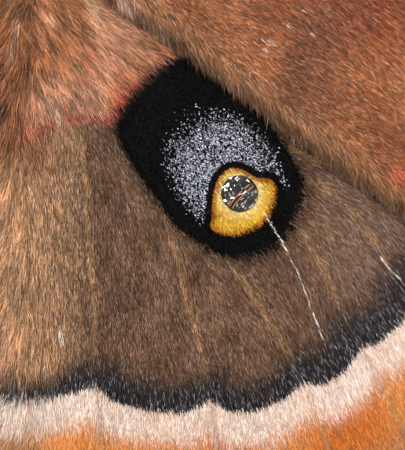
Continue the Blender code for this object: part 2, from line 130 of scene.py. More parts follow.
class Finish:
    """One material. node() adds any node: its settings first, then the values or links of its sockets."""

    def __init__(self, name, roughness, **constants):
        self.material = bpy.data.materials.new(name)
        self.material.use_nodes = True
        self.tree = self.material.node_tree
        self.shader = self.tree.nodes["Principled BSDF"]
        self.shader.inputs["Roughness"].default_value = roughness
        for socket, value in constants.items():
            self.shader.inputs[socket.replace("_", " ")].default_value = value

    def node(self, kind, settings=None, inputs=None, output=0):
        made = self.tree.nodes.new(kind)
        for name, value in (settings or {}).items():
            setattr(made, name, value)
        for name, value in (inputs or {}).items():
            self.feed(made.inputs[name], value)
        return Shade(self, made.outputs[output])

    def feed(self, socket, value):
        if isinstance(value, Shade):
            self.tree.links.new(value.socket, socket)
        elif isinstance(value, tuple) and len(socket.default_value) == 4:
            socket.default_value = (*value, 1.0)
        else:
            socket.default_value = value

    def math(self, operation, *values):
        return self.node("ShaderNodeMath", {"operation": operation}, dict(enumerate(values)))

    def mask(self, value, low, high):
        """0 where the value is at low or past it, 1 at high, with a soft slope between."""
        inputs = {"Value": value, "From Min": low, "From Max": high}
        return self.node("ShaderNodeMapRange", {"interpolation_type": "SMOOTHSTEP"}, inputs)

    def stripe(self, off, far, near):
        """1 where the distance off a line is under near, on either side, and 0 from far on."""
        return self.mask(self.math("ABSOLUTE", off), far, near)

    def mix(self, share, under, over, blend="MIX"):
        settings = {"data_type": "RGBA", "blend_type": blend}
        return self.node("ShaderNodeMix", settings, {0: share, 6: under, 7: over}, 2)

    def mottled(self, noise, dark, light, low=0.35, high=0.65):
        """Two tones in soft patches."""
        return self.mix(self.mask(noise, low, high), dark, light)

    def here(self):
        """The place on a piece, in the frame's metres."""
        return self.node("ShaderNodeTexCoord", output="Object")

    def field(self, name):
        return self.node("ShaderNodeAttribute", {"attribute_name": name}, output="Vector")

    def parts(self, vector):
        split = self.node("ShaderNodeSeparateXYZ", inputs={0: vector})
        return [Shade(self, output) for output in split.socket.node.outputs]

    def marks(self, name):
        """The three values of a field that the mesh carries."""
        return self.parts(self.field(name))

    def vectors(self, operation, inputs):
        return self.node("ShaderNodeVectorMath", {"operation": operation}, inputs)

    def noise(self, vector, scale, detail=2.0, stretch=(1.0, 1.0, 1.0)):
        drawn = self.vectors("MULTIPLY", {0: vector, 1: stretch})
        return self.node("ShaderNodeTexNoise", None, {"Vector": drawn, "Scale": scale, "Detail": detail})

    def done(self, colour, height=None, depth=0.0, roughness=None):
        self.feed(self.shader.inputs["Base Color"], colour)
        if roughness is not None:
            self.feed(self.shader.inputs["Roughness"], roughness)
        if height is not None:
            bump = self.node("ShaderNodeBump", None, {"Strength": 1.0, "Distance": depth, "Height": height})
            self.feed(self.shader.inputs["Normal"], bump)
        return self.material


def floor_finish():
    finish = Finish("floor_pale", 0.9)
    return finish.done(finish.mix(finish.noise(finish.here(), 40.0), (0.72, 0.7, 0.67), (0.76, 0.74, 0.71)))


floor_mesh = bpy.data.meshes.new("floor")
corners = [(-1.0, -1.0), (1.0, -1.0), (1.0, 1.0), (-1.0, 1.0)]
floor_mesh.from_pydata([Vector((x, y, 0.0)) * FLOOR_HALF * MM for x, y in corners], [], [(0, 1, 2, 3)])
floor_mesh.materials.append(floor_finish())
floor = bpy.data.objects.new("floor", floor_mesh)
bpy.context.scene.collection.objects.link(floor)

# The wing membranes: two thin skins with the veins between them, sagging a little from vein to vein. They
# lie in the middle of the solid wings, on the same height over the floor, and carry the scales.
FORE_LIFT = 1.1
WING_LEVEL = 8.6
WING_DROOP = 4.4
HIND_DROOP = 1.2
HIND_DROOP_START = 10.0
HIND_DROOP_RUN = 37.0
BODY_EDGE_X = 5.0
WING_REACH = 61.0
BUCKLE = 0.05
BUCKLE_RUN = 6.0
MEMBRANE_HALF = 0.07
MEMBRANE_EDGE = 0.03
MEMBRANE_TAPER = 0.5
VEIN_HALF = 0.2
VEIN_RISE = 0.09
SAG = 0.16
SAG_RUN = 1.4
RIM_STEP = 0.45
RIM_CHART_STEP = 1.2
VEIN_STEP = 0.8
FILL_STEP = 0.75
CHART_STEP = 0.2
SIDES = {"right": 1.0, "left": -1.0}

FORE_OUTLINE = [
    (3.7, 4.4), (8.0, 6.9), (14.0, 9.9), (23.0, 13.6), (34.0, 16.4), (45.0, 17.5), (55.0, 16.4),
    (62.5, 13.7), (66.3, 10.2), (65.8, 6.9), (62.0, 2.2), (57.2, -4.2), (53.0, -11.0), (48.8, -18.2),
    (44.6, -24.0), (41.4, -26.0), (37.0, -23.8), (30.0, -19.2), (22.0, -13.2), (14.0, -7.3),
    (8.0, -3.4), (3.7, -1.2),
]
HIND_OUTLINE = [
    (3.7, -1.6), (9.0, -1.2), (18.0, -2.4), (28.0, -5.2), (37.0, -9.4), (43.0, -14.4), (45.7, -20.6),
    (45.0, -28.0), (41.0, -35.6), (35.0, -41.6), (27.6, -45.7), (20.0, -47.2), (12.8, -46.0),
    (7.6, -42.4), (5.6, -36.0), (5.3, -27.0), (5.6, -17.0), (5.4, -10.5), (3.7, -6.4),
]
FORE_VEINS = {
    "subcosta": [(9.0, 6.2), (22.0, 11.6), (37.0, 14.8), (49.0, 15.2), (56.0, 14.6)],
    "radius": [(9.0, 4.2), (20.0, 7.9), (31.0, 10.2), (45.0, 12.0), (60.5, 11.8)],
    "radius_fork": [(31.0, 9.9), (45.0, 8.6), (64.0, 6.6)],
    "media_1": [(32.8, 7.0), (46.0, 4.8), (60.0, 1.4)],
    "media_2": [(33.6, 4.0), (46.0, 0.3), (56.0, -4.4)],
    "media_3": [(32.6, 0.2), (43.0, -4.8), (52.2, -10.6)],
    "cubitus_1": [(29.6, -1.8), (39.0, -8.4), (48.8, -16.2)],
    "cubitus_2": [(22.6, -1.5), (33.0, -10.6), (45.0, -22.4)],
    "cubitus_stem": [(9.0, 1.4), (18.0, -0.2), (25.5, -1.8), (32.4, 0.0)],
    "cell_end": [(31.6, 9.8), (33.4, 7.0), (33.6, 4.0), (32.6, 0.2)],
    "anal": [(9.0, -2.0), (20.0, -9.7), (31.0, -17.9), (40.2, -24.4)],
}
HIND_VEINS = {
    "subcosta": [(10.0, -3.0), (22.0, -5.2), (34.0, -10.0), (43.4, -17.4)],
    "radial_stem": [(10.0, -6.2), (17.6, -11.6), (26.0, -17.6)],
    "radial_branch": [(17.6, -11.6), (30.0, -15.6), (44.5, -22.6)],
    "media_1": [(26.0, -17.6), (34.0, -21.4), (44.2, -28.6)],
    "media_2": [(25.6, -18.6), (31.1, -22.4), (35.0, -27.6), (41.0, -34.6)],
    "media_3": [(24.4, -20.8), (27.8, -24.3), (30.9, -30.1), (36.0, -40.0)],
    "cubitus_1": [(20.2, -23.2), (22.8, -26.6), (25.2, -30.1), (27.8, -34.9), (31.0, -43.2)],
    "cubitus_2": [(14.6, -16.2), (17.5, -21.7), (19.7, -29.6), (21.2, -36.2), (22.2, -46.0)],
    "cubitus_stem": [(8.4, -7.8), (14.6, -16.2), (20.2, -23.2)],
    "cell_end": [(20.2, -23.2), (22.3, -21.9), (24.4, -20.8), (26.0, -17.6)],
    "anal_2": [(7.6, -9.2), (11.6, -16.7), (12.6, -25.0), (13.1, -35.1), (13.6, -45.0)],
    "anal_3": [(6.6, -12.0), (8.0, -22.0), (8.0, -34.0), (9.0, -42.2)],
}
CROSS_VEINS = ["cell_end"]
LIE_SOFT = 0.6
LIE_FALL = -1.6
SWEPT_TURN = 0.6
SWEPT_WIDTH = 2.6
FORE_REAR = [(3.7, -1.2), (14.0, -7.3), (22.0, -13.2), (30.0, -19.2), (37.0, -23.8), (41.4, -26.0)]
HIND_REAR = [(5.4, -10.5), (5.6, -17.0), (5.3, -27.0), (5.6, -36.0), (7.6, -42.4)]
HIND_GUIDES = [
    [(4.6, -20.0), (4.2, -26.0), (1.0, -34.0)], [(4.0, -3.0), (20.0, -2.0), (30.0, -5.5)],
    [(8.2, -7.2), (6.4, -9.4), (4.4, -11.4)], [(7.8, -11.6), (6.2, -13.8), (4.4, -15.6)],
]
FORE_GUIDES = [[(4.0, 5.0), (16.0, 11.0), (30.0, 16.0)], [(4.0, -1.5), (14.0, -8.4), (24.0, -15.8)]]


def smooth_line(points, pieces=8, closed=False):
    """A smooth curve through the points, with this many pieces between two of them."""
    points = np.array(points, float)
    if closed:
        padded = np.vstack([points[-1:], points, points[:2]])
    else:
        padded = np.vstack([2 * points[0] - points[1], points, 2 * points[-1] - points[-2]])
    a, b, c, d = padded[:-3], padded[1:-2], padded[2:-1], padded[3:]
    t = (np.arange(pieces) / pieces)[:, None, None]
    square = (2 * a - 5 * b + 4 * c - d) * t**2
    cube = (3 * b - a - 3 * c + d) * t**3
    curve = 0.5 * (2 * b + (c - a) * t + square + cube)
    line = curve.transpose(1, 0, 2).reshape(-1, points.shape[1])
    return line if closed else np.vstack([line, points[-1:]])


def unit(vectors):
    return vectors / np.maximum(np.linalg.norm(vectors, axis=-1, keepdims=True), 1e-9)


def lengths_of(line):
    """How far along a line each of its points is."""
    return np.concatenate([[0.0], np.cumsum(np.linalg.norm(np.diff(line, axis=0), axis=1))])


def read_off(line, places, wanted):
    """The points of a line at the wanted places, between those it is given at."""
    return np.stack([np.interp(wanted, places, column) for column in line.T], axis=-1)


def evenly(line, step, closed=False):
    """The line again, as points about this far apart."""
    if closed:
        line = closed_up(line)
    lengths = lengths_of(line)
    count = max(2, round(lengths[-1] / step))
    wanted = np.linspace(0.0, lengths[-1], count + 1)
    if closed:
        wanted = wanted[:-1]
    return read_off(line, lengths, wanted)


def shifted(line, off):
    """A flat line moved sideways, to its left."""
    run = unit(np.gradient(line, axis=0))
    return line + np.stack([-run[:, 1], run[:, 0]], axis=1) * off


def turned(ways, turn):
    """Flat directions, each turned by an angle of its own."""
    return ways * np.cos(turn)[:, None] + ways[:, ::-1] * np.sin(turn)[:, None] * np.array([-1.0, 1.0])


def distance(spots, line):
    """How far each flat spot is from a line, above 0 on the line's left and under 0 on its right."""
    least = np.full(len(spots), np.inf)
    side = np.ones(len(spots))
    for start, end in zip(line[:-1], line[1:]):
        run = end - start
        off = spots - start
        share = np.clip(off @ run / max(run @ run, 1e-12), 0.0, 1.0)
        gap = off - share[:, None] * run
        squared = (gap**2).sum(axis=1)
        nearer = squared < least
        least[nearer] = squared[nearer]
        side[nearer] = np.sign(run[0] * off[nearer, 1] - run[1] * off[nearer, 0])
    return np.sqrt(least) * np.where(side == 0, 1.0, side)


def closed_up(line):
    return np.vstack([line, line[:1]])


def within(spots, rim):
    """Whether each flat spot lies inside a closed outline."""
    found = np.zeros(len(spots), bool)
    for a, b in zip(rim, np.roll(rim, -1, axis=0)):
        crosses = (a[1] > spots[:, 1]) != (b[1] > spots[:, 1])
        edge_x = (b[0] - a[0]) * (spots[:, 1] - a[1]) / (b[1] - a[1] + 1e-12) + a[0]
        found ^= crosses & (spots[:, 0] < edge_x)
    return found


def smooth_step(value, low, high):
    t = np.clip((value - low) / (high - low), 0.0, 1.0)
    return t * t * (3 - 2 * t)


def ripple(spots, wavelength, seed, ways=7):
    """A gentle unevenness of about this wavelength, between -1 and 1."""
    dice = np.random.default_rng(seed)
    total = np.zeros(len(spots))
    for turn, phase, pull in dice.uniform(0.0, 1.0, (ways, 3)):
        way = np.array([math.cos(math.tau * turn), math.sin(math.tau * turn)])
        total += np.sin(spots[:, :2] @ way * math.tau * (0.7 + 0.6 * pull) / wavelength + math.tau * phase)
    return total / math.sqrt(ways) * 0.8


class Chart:
    """Values worked out once on a fine flat grid, and read off between its points."""

    def __init__(self, low, high, values_of):
        self.low = low - CHART_STEP
        count = np.ceil((high - self.low) / CHART_STEP).astype(int) + 2
        across, up = np.meshgrid(np.arange(count[0]), np.arange(count[1]), indexing="ij")
        spots = np.stack([across, up], axis=-1).reshape(-1, 2) * CHART_STEP + self.low
        self.values = values_of(spots).reshape(*count, -1)

    def __call__(self, spots):
        last = np.array(self.values.shape[:2]) - 1.001
        place = np.clip((spots - self.low) / CHART_STEP, 0.0, last)
        cell = place.astype(int)
        x, y = (place - cell).T[:, :, None]
        i, j = cell.T
        near = self.values[i, j] * (1 - x) + self.values[i + 1, j] * x
        far = self.values[i, j + 1] * (1 - x) + self.values[i + 1, j + 1] * x
        return near * (1 - y) + far * y


class Wing:
    """One kind of wing on the right side: its rim, its veins, its level and which way its hairs lie."""

    def __init__(self, outline, veins, guides, lift, swept):
        self.lift = lift
        self.rim = evenly(smooth_line(outline, closed=True), RIM_STEP, closed=True)
        self.low = self.rim.min(axis=0)
        self.high = self.rim.max(axis=0)
        self.veins = {name: evenly(smooth_line(line), VEIN_STEP) for name, line in veins.items()}
        self.lies = [line for name, line in self.veins.items() if name not in CROSS_VEINS]
        self.lies += [evenly(smooth_line(line), VEIN_STEP) for line in guides]
        self.swept_line = evenly(smooth_line(swept), 2.0)
        self.chart = Chart(self.low, self.high, self.survey)

    def survey(self, spots):
        """How far in from the rim and from a vein each spot is, and the way its scales lie."""
        edge = np.abs(distance(spots, evenly(closed_up(self.rim), RIM_CHART_STEP)))
        vein = np.min([np.abs(distance(spots, line)) for line in self.veins.values()], axis=0)
        total = np.zeros((len(spots), 2))
        for line in self.lies:
            for start, end in zip(line[:-1], line[1:]):
                off = spots - (start + end) / 2
                total += (((off**2).sum(axis=1) + LIE_SOFT) ** LIE_FALL)[:, None] * (end - start)
        swept = smooth_step(-np.abs(distance(spots, self.swept_line)), -SWEPT_WIDTH, 0.0)
        return np.column_stack([edge, vein, turned(unit(total), -SWEPT_TURN * swept)])

    def edge(self, spots):
        return self.chart(spots)[:, 0]

    def vein(self, spots):
        return self.chart(spots)[:, 1]

    def lie(self, spots):
        return unit(self.chart(spots)[:, 2:])

    def level(self, spots, vein):
        """The height of the membrane's middle: the wing's droop, less the sag between its veins."""
        out = np.clip((spots[:, 0] - BODY_EDGE_X) / WING_REACH, 0.0, None)
        back = np.clip((-spots[:, 1] - HIND_DROOP_START) / HIND_DROOP_RUN, 0.0, 1.0)
        droop = WING_LEVEL - WING_DROOP * out**1.5 - HIND_DROOP * back**2 + self.lift
        sag = SAG * (1.0 - np.exp(-((vein / SAG_RUN) ** 2)))
        return droop - sag + BUCKLE * ripple(spots, BUCKLE_RUN, 3)

    def half(self, edge, vein):
        """Half the membrane's thickness, more on a vein and less at the rim."""
        taper = np.clip(edge / MEMBRANE_TAPER, 0.0, 1.0)
        tube = np.sqrt(np.clip(1.0 - (vein / VEIN_HALF) ** 2, 0.0, None))
        return MEMBRANE_EDGE + (MEMBRANE_HALF - MEMBRANE_EDGE) * taper + VEIN_RISE * tube * taper

    def top(self, spots):
        """The height of the membrane's upper face."""
        vein = self.vein(spots)
        return self.level(spots, vein) + self.half(self.edge(spots), vein)


def place_object(name, mesh, replaced=()):
    """Sets a finished mesh in the frame, riding with the moth."""
    made = bpy.data.objects.new(name, mesh)
    bpy.context.scene.collection.objects.link(made)
    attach(made, "root")
    if replaced:
        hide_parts(*replaced)


def add_fields(mesh, fields, each=1):
    """Keeps what a finish reads, such as distances from the markings, on the mesh's points."""
    for name, values in fields.items():
        layer = mesh.attributes.new(name, "FLOAT_VECTOR", "POINT")
        layer.data.foreach_set("vector", np.repeat(values, each, axis=0).astype(np.float32).ravel())


def to_frame(points):
    """Points in millimetres from the middle of the thorax, as the frame's metres."""
    return (np.asarray(points) + np.array([0.0, AHEAD, 0.0])) * MM


def smooth_mesh(name, points, faces, *finishes):
    """A smooth mesh of points in millimetres, with its finishes."""
    mesh = bpy.data.meshes.new(name)
    mesh.from_pydata(to_frame(points), [], faces)
    for finish in finishes:
        mesh.materials.append(finish)
    mesh.shade_smooth()
    return mesh


def membrane(name, wing, side, marks_of, top_finish, under_finish, replaced):
    """A closed thin skin of triangles, denser along the rim and each vein, with the markings on it."""
    spots = [*wing.rim]
    edges = [(i, (i + 1) % len(wing.rim)) for i in range(len(wing.rim))]
    for line in wing.veins.values():
        for off in (0.0, 0.45 * VEIN_HALF, -0.45 * VEIN_HALF, VEIN_HALF, -VEIN_HALF):
            moved = shifted(line, off)
            edges += [(len(spots) + i, len(spots) + i + 1) for i in range(len(moved) - 1)]
            spots += [*moved]
    steps = np.ceil((wing.high - wing.low) / FILL_STEP).astype(int)
    across, up = np.meshgrid(np.arange(steps[0]), np.arange(steps[1]))
    fill = np.stack([across + 0.5 * (up % 2), up + 0.5], axis=-1).reshape(-1, 2) * FILL_STEP + wing.low
    clear = within(fill, wing.rim) & (wing.edge(fill) > 0.4 * FILL_STEP)
    clear &= wing.vein(fill) > VEIN_HALF + 0.3 * FILL_STEP
    spots += [*fill[clear]]
    rim_face = [list(range(len(wing.rim)))]
    flat, _, triangles, *_ = delaunay_2d_cdt([Vector(s) for s in spots], edges, rim_face, 1, 1e-4)
    flat = np.array(flat)
    vein = wing.survey(flat)[:, 1]
    level = wing.level(flat, vein)
    half = wing.half(wing.edge(flat), vein)
    heights = (level + half, level - half)
    points = [np.column_stack([side * flat[:, 0], flat[:, 1], height]) for height in heights]
    count = len(flat)
    faces = []
    directed = set()
    for a, b, c in triangles:
        faces += [(a, b, c), (c + count, b + count, a + count)]
        directed |= {(a, b), (b, c), (c, a)}
    joined = len(faces)
    faces += [(b, a, a + count, b + count) for a, b in sorted(directed) if (b, a) not in directed]
    if side < 0:
        faces = [face[::-1] for face in faces]
    mesh = smooth_mesh(name, np.vstack(points), faces, top_finish, under_finish)
    mesh.polygons.foreach_set("material_index", [0, 1] * (joined // 2) + [0] * (len(faces) - joined))
    marks = marks_of(flat, side)
    marks["lot"] = np.full((count, 3), 0.5)
    add_fields(mesh, {key: np.vstack([values, values]) for key, values in marks.items()})
    place_object(name, mesh, replaced)


FORE = Wing(FORE_OUTLINE, FORE_VEINS, FORE_GUIDES, FORE_LIFT, FORE_REAR)
HIND = Wing(HIND_OUTLINE, HIND_VEINS, HIND_GUIDES, 0.0, HIND_REAR)

# The coat: flat scales of horn, many drawn out into hairs, each rooted in a socket of the skin and lying
# over the next. A vane's profile gives, at shares of its length, its width and its rise off the skin.
HAIR = [(0.0, 1.0, 0.0), (1.0, 0.0, 1.0)]
FLAT_SCALE = [(0.0, 0.0, 0.0), (0.5, 1.0, 0.8), (1.0, 0.0, 1.0)]
PATCH = 0.003
MAP_EDGE = 0.01
MAP_ROOM = 0.98
ROLL = 0.65
ROOT_SUNK = 0.01
FLOOR_GAP = 0.02
STRAND_WIDTH = 0.16
STRAND_STEPS = 4
STRAND_STRIDE = 1.3
STRAND_MARGIN = 20
STRAND_CONTRAST = 0.26
STRAND_SHARE = 0.22
STRAND_SHARE_LONG = 0.3


def tufts(name, roots, lie, out, long, wide, high, profile, uv, fields, finish, roll=0.0, gather=0.0):
    """Many small pointed vanes as one mesh, each along lie and raised along out.

    Each vane's patch of the OFBake map is about PATCH across, at its root's place on the skin's unwrap.
    A vane that meets the floor lies flat on it.
    """
    count = len(roots)
    long, wide, high, roll = (np.broadcast_to(size, count)[:, None] for size in (long, wide, high, roll))
    across = np.cross(lie, out)
    across = across * np.cos(roll) + out * np.sin(roll)
    rows = []
    corners = []
    spread = []
    for share, width, rise in profile:
        middle = roots + lie * (share * long) + out * (rise * high) + gather * share**1.5
        row = []
        for way in (-1.0, 1.0) if width else (0.0,):
            row.append(len(corners))
            corners.append(middle + across * (way * width * wide / 2))
            spread.append((way * 0.5 * PATCH, (share - 0.5) * PATCH))
        rows.append(row)
    faces = []
    for row, above in zip(rows, rows[1:]):
        if len(row) == 2:
            faces.append((row[0], row[1], above[-1]))
        if len(above) == 2:
            faces.append((row[0], above[1], above[0]))
    each = len(corners)
    points = np.stack(corners, axis=1).reshape(-1, 3)
    points[:, 2] = np.maximum(points[:, 2], FLOOR_GAP)
    shape = np.array(faces)
    side_on = np.cross(points[shape[0, 1]] - points[shape[0, 0]], points[shape[0, 2]] - points[shape[0, 0]])
    if side_on @ out[0] < 0:
        shape = shape[:, ::-1]
    loops = (np.arange(count)[:, None, None] * each + shape[None]).reshape(-1)
    mesh = bpy.data.meshes.new(name)
    mesh.vertices.add(len(points))
    mesh.vertices.foreach_set("co", to_frame(points).astype(np.float32).ravel())
    mesh.loops.add(len(loops))
    mesh.loops.foreach_set("vertex_index", loops.astype(np.int32))
    mesh.polygons.add(len(loops) // 3)
    mesh.polygons.foreach_set("loop_start", np.arange(0, len(loops), 3, dtype=np.int32))
    mesh.update(calc_edges=True)
    mesh.shade_smooth()
    layer = mesh.uv_layers.new(name="OFBake")
    patch = (uv[:, None, :] + np.array(spread)[None]).reshape(-1, 2)
    layer.data.foreach_set("uv", patch[loops].astype(np.float32).ravel())
    add_fields(mesh, fields, each)
    mesh.materials.append(finish)
    return place_object(name, mesh)


def scattered(low, high, density, dice, jitter=1.0):
    """Spots spread over a flat box, one in each cell of a grid, at random in it."""
    step = 1.0 / math.sqrt(density)
    steps = np.ceil((high - low) / step).astype(int)
    across, up = np.meshgrid(np.arange(steps[0]), np.arange(steps[1]))
    cells = np.stack([across, up], axis=-1).reshape(-1, 2)
    return (cells + 0.5 + dice.uniform(-0.5, 0.5, cells.shape) * jitter) * step + low


def strands(wing, spots):
    """How light each spot is among its neighbours, alike along a strand of hairs, between 0 and 1."""
    count = np.ceil((wing.high - wing.low) / STRAND_WIDTH).astype(int) + 2 * STRAND_MARGIN
    grain = np.random.default_rng(5).normal(0.0, 1.0, count)
    total = np.zeros(len(spots))
    for way in (1.0, -1.0):
        here = spots.copy()
        for _ in range(STRAND_STEPS):
            cell = ((here - wing.low) / STRAND_WIDTH).astype(int) + STRAND_MARGIN
            total += grain[np.clip(cell[:, 0], 0, count[0] - 1), np.clip(cell[:, 1], 0, count[1] - 1)]
            here += way * wing.lie(here) * STRAND_WIDTH * STRAND_STRIDE
    return np.clip(0.5 + STRAND_CONTRAST * total / math.sqrt(2 * STRAND_STEPS), 0.0, 1.0)


def wing_scales(name, wing, side, face, density, marks_of, size_of, finish, seed, profile=HAIR, jitter=1.0):
    """The coat of one face of a wing: scales that lie along the veins and overlap towards the rim."""
    dice = np.random.default_rng(seed)
    roots = scattered(wing.low, wing.high, density, dice, jitter)
    roots = roots[within(roots, wing.rim)]
    *sizes, keep = size_of(roots)
    long, wide, high, wander = (np.broadcast_to(size, len(roots))[keep] for size in sizes)
    roots = roots[keep]
    count = len(roots)
    lot = dice.uniform(0.0, 1.0, (count, 3))
    alike = STRAND_SHARE + STRAND_SHARE_LONG * smooth_step(long, 0.7, 1.2)
    lot[:, 0] += alike * (strands(wing, roots) - lot[:, 0])
    lie = turned(wing.lie(roots), dice.normal(0.0, 1.0, count) * wander)
    long = long * dice.uniform(0.7, 1.3, count)
    wide = wide * dice.uniform(0.7, 1.3, count)
    high = high * dice.uniform(0.4, 1.6, count)
    shown = roots + lie * (long * dice.uniform(0.1, 0.9, count))[:, None]
    vein = wing.vein(roots)
    level = wing.level(roots, vein)
    tip_level = wing.level(roots + lie * long[:, None], vein)
    height = level + face * (wing.half(wing.edge(roots), vein) - ROOT_SUNK)
    base = np.column_stack([side * roots[:, 0], roots[:, 1], height])
    way = np.column_stack([side * lie[:, 0], lie[:, 1], (tip_level - level) / long])
    out = np.tile([0.0, 0.0, float(face)], (count, 1))
    fields = {**marks_of(shown, side), "lot": lot}
    uv = MAP_EDGE + MAP_ROOM * (roots - wing.low) / (wing.high - wing.low).max()
    roll = dice.normal(0.0, ROLL, count)
    tufts(name, base, way, out, long, wide, high, profile, uv, fields, finish, roll)


# The hindwings: a salmon base, a brown middle and, across the wing, a black band and a pinkish white one
# before the orange margin. The eyespot is a black patch dusted blue-white, with a yellow ring in it.
HIND_BASE_LINE = [
    (2.0, -19.0), (6.1, -18.6), (7.9, -17.4), (9.3, -16.6), (10.8, -15.9), (12.5, -16.1), (14.2, -16.0),
    (15.3, -14.2), (17.0, -12.5), (18.5, -11.4), (20.4, -10.6), (25.0, -8.6), (32.0, -6.0), (36.0, -4.0),
]
HIND_BAND_LINE = [
    (3.0, -35.9), (6.1, -36.0), (9.7, -35.9), (13.1, -35.1), (14.1, -36.1), (16.8, -36.9), (19.3, -37.0),
    (21.3, -36.1), (22.4, -36.9), (24.3, -37.0), (26.5, -36.0), (27.8, -34.9), (29.1, -35.1),
    (30.8, -34.2), (32.0, -32.4), (33.3, -32.1), (35.0, -30.6), (36.5, -28.0), (38.2, -26.8),
    (39.8, -23.4), (39.6, -20.2), (40.4, -18.4), (38.6, -14.0), (36.0, -9.0),
]
PATCH_OUTLINE = [
    (14.26, -16.07), (15.26, -14.36), (16.83, -12.72), (18.40, -11.57), (19.83, -11.50), (21.61, -12.36),
    (23.90, -14.29), (25.54, -16.43), (27.26, -19.07), (27.90, -20.43), (27.54, -22.29), (26.69, -24.29),
    (25.26, -25.43), (22.97, -25.93), (20.76, -25.14), (18.40, -23.29), (16.54, -20.72), (14.69, -17.86),
]
RING_OUTLINE = [
    (22.54, -19.43), (21.69, -20.14), (21.33, -21.43), (21.26, -22.72), (21.19, -23.79), (22.33, -24.22),
    (23.69, -24.0), (24.97, -23.29), (25.61, -22.14), (25.83, -21.0), (25.47, -20.22), (24.47, -20.14),
    (23.54, -19.57),
]
HIND_PANE = {"centre": (23.22, -21.25), "radius": 1.25, "stretch": 1.0}
DUST_MIDDLE = (22.15, -19.7)
SPOT_WAY = (0.632, -0.774)
DUST_HALF = (5.5, 4.1)
SCRATCHES = [
    [(24.9, -22.5), (26.2, -24.6), (27.5, -27.1), (28.2, -29.0), (29.5, -32.4)],
    [(32.9, -25.1), (34.1, -26.8), (35.0, -27.6)],
]
WORN_SPOT = (10.45, -31.6)
# Each group of streaks in the base is a list of (width, line). The dark streaks are painted shade in the
# creases where the base folds.
CREASE_SHADE_STREAKS = [
    (0.42, [(8.3, -6.0), (8.25, -10.0), (7.9, -14.2)]), (0.3, [(10.6, -6.0), (10.5, -11.2)]),
    (0.5, [(6.5, -15.0), (7.2, -15.8)]), (0.25, [(12.1, -9.0), (12.5, -12.0)]),
]
# The pale streaks are painted light along the base's folds, with a few pale specks and patches.
PALE_AND_FOLD_LIGHT_STREAKS = [
    (0.13, [(7.0, -7.8), (7.4, -8.9), (7.3, -10.3), (6.8, -11.7)]), (0.35, [(12.2, -6.4), (13.0, -8.8)]),
    (0.25, [(9.7, -8.7), (9.7, -9.2)]), (0.22, [(11.7, -12.0), (11.6, -12.4)]),
    (0.5, [(9.7, -15.0), (10.4, -15.8)]),
]
RED_STREAKS = [
    (0.3, [(12.5, -10.8), (12.6, -13.2)]), (0.25, [(13.5, -10.4), (13.3, -12.6)]),
    (0.3, [(14.7, -12.4), (14.2, -15.2)]), (0.35, [(10.9, -15.4), (11.0, -16.2)]),
    (0.4, [(8.0, -16.6), (8.9, -17.0)]),
]
# Tones, as linear red, green and blue
BLACK = (0.003, 0.0025, 0.003)
SALMON = (0.45, 0.17, 0.07)
SALMON_PINK = (0.6, 0.285, 0.16)
SALMON_INNER = (0.36, 0.13, 0.048)
CREASE_SHADOW_OLIVE = (0.09, 0.045, 0.02)
BROWN = (0.145, 0.07, 0.036)
BROWN_LIGHT = (0.22, 0.115, 0.064)
BROWN_OUTER = (0.24, 0.135, 0.088)
TAN_INNER = (0.66, 0.365, 0.19)
TAN_SHADE = (0.32, 0.14, 0.055)
VEIN_GOLD_AND_SHEEN = (0.44, 0.24, 0.11)
CRIMSON = (0.42, 0.045, 0.035)
CREASE_SHADE_BROWN = (0.21, 0.08, 0.025)
PALE_AND_FOLD_LIGHT = (0.66, 0.43, 0.27)
STREAK_RED = (0.52, 0.1, 0.06)
SMOKE = (0.012, 0.009, 0.01)
FROST = (0.25, 0.25, 0.32)
WHITE_PINK = (0.98, 0.73, 0.6)
WHITE = (1.0, 0.82, 0.7)
WHITE_INNER = (1.0, 0.84, 0.72)
ORANGE = (0.72, 0.2, 0.035)
ORANGE_LIGHT = (0.82, 0.31, 0.08)
ORANGE_INNER = (0.98, 0.42, 0.11)
ORANGE_RIM = (0.5, 0.24, 0.11)
VEIN_ON_WHITE = (0.72, 0.42, 0.27)
VEIN_ON_ORANGE = (0.5, 0.32, 0.14)
HALO = (0.045, 0.024, 0.014)
DUST_DIM = (0.25, 0.27, 0.38)
DUST_BRIGHT = (0.88, 0.88, 0.95)
YELLOW = (0.78, 0.47, 0.05)
YELLOW_PALE = (0.84, 0.64, 0.22)
RING_RIM = (0.34, 0.09, 0.006)
PANE_DARK = (0.02, 0.015, 0.012)
BARE_MEMBRANE = (0.85, 0.74, 0.64)
UNDER_BROWN = (0.2, 0.11, 0.065)
UNDER_TAN = (0.42, 0.27, 0.17)
UNDER_SHADE = (0.16, 0.09, 0.06)
UNDER_LINE = (0.09, 0.05, 0.035)
UNDER_BAND = (0.5, 0.33, 0.22)
UNDER_VEIN = (0.45, 0.3, 0.17)
UNDER_RING = (0.5, 0.36, 0.12)
HAIR_PALE_AND_GLINT = (0.95, 0.8, 0.7)
PALE_FROM = 0.94
EVEN_TONE = (0.6, 1.5, 0.0)
GRAIN_PAINTED_SHADE = (0.3, 0.25, 0.2)
GRAIN_SCALE = 7.0
GRAIN_DEPTH = 0.00006
SCRATCH_HALF = 0.07
WORN_HALF = 0.7


def survey_hind(spots):
    """How far each spot is from the hindwing's markings, worked out on the chart's grid."""
    areas = []
    for outline in (PATCH_OUTLINE, RING_OUTLINE):
        line = closed_up(smooth_line(outline, 4, closed=True))
        areas.append(np.abs(distance(spots, line)) * np.where(within(spots, line), -1.0, 1.0))
    base = -distance(spots, evenly(smooth_line(HIND_BASE_LINE), 0.6))
    band = -distance(spots, evenly(np.array(HIND_BAND_LINE), 0.4))
    streaks = []
    for group in (CREASE_SHADE_STREAKS, PALE_AND_FOLD_LIGHT_STREAKS, RED_STREAKS):
        near = [np.abs(distance(spots, np.array(line))) / width for width, line in group]
        streaks.append(1.0 - smooth_step(np.min(near, axis=0), 0.4, 1.6))
    return np.column_stack([*areas, base, band, *streaks])


hind_chart = Chart(HIND.low, HIND.high, survey_hind)


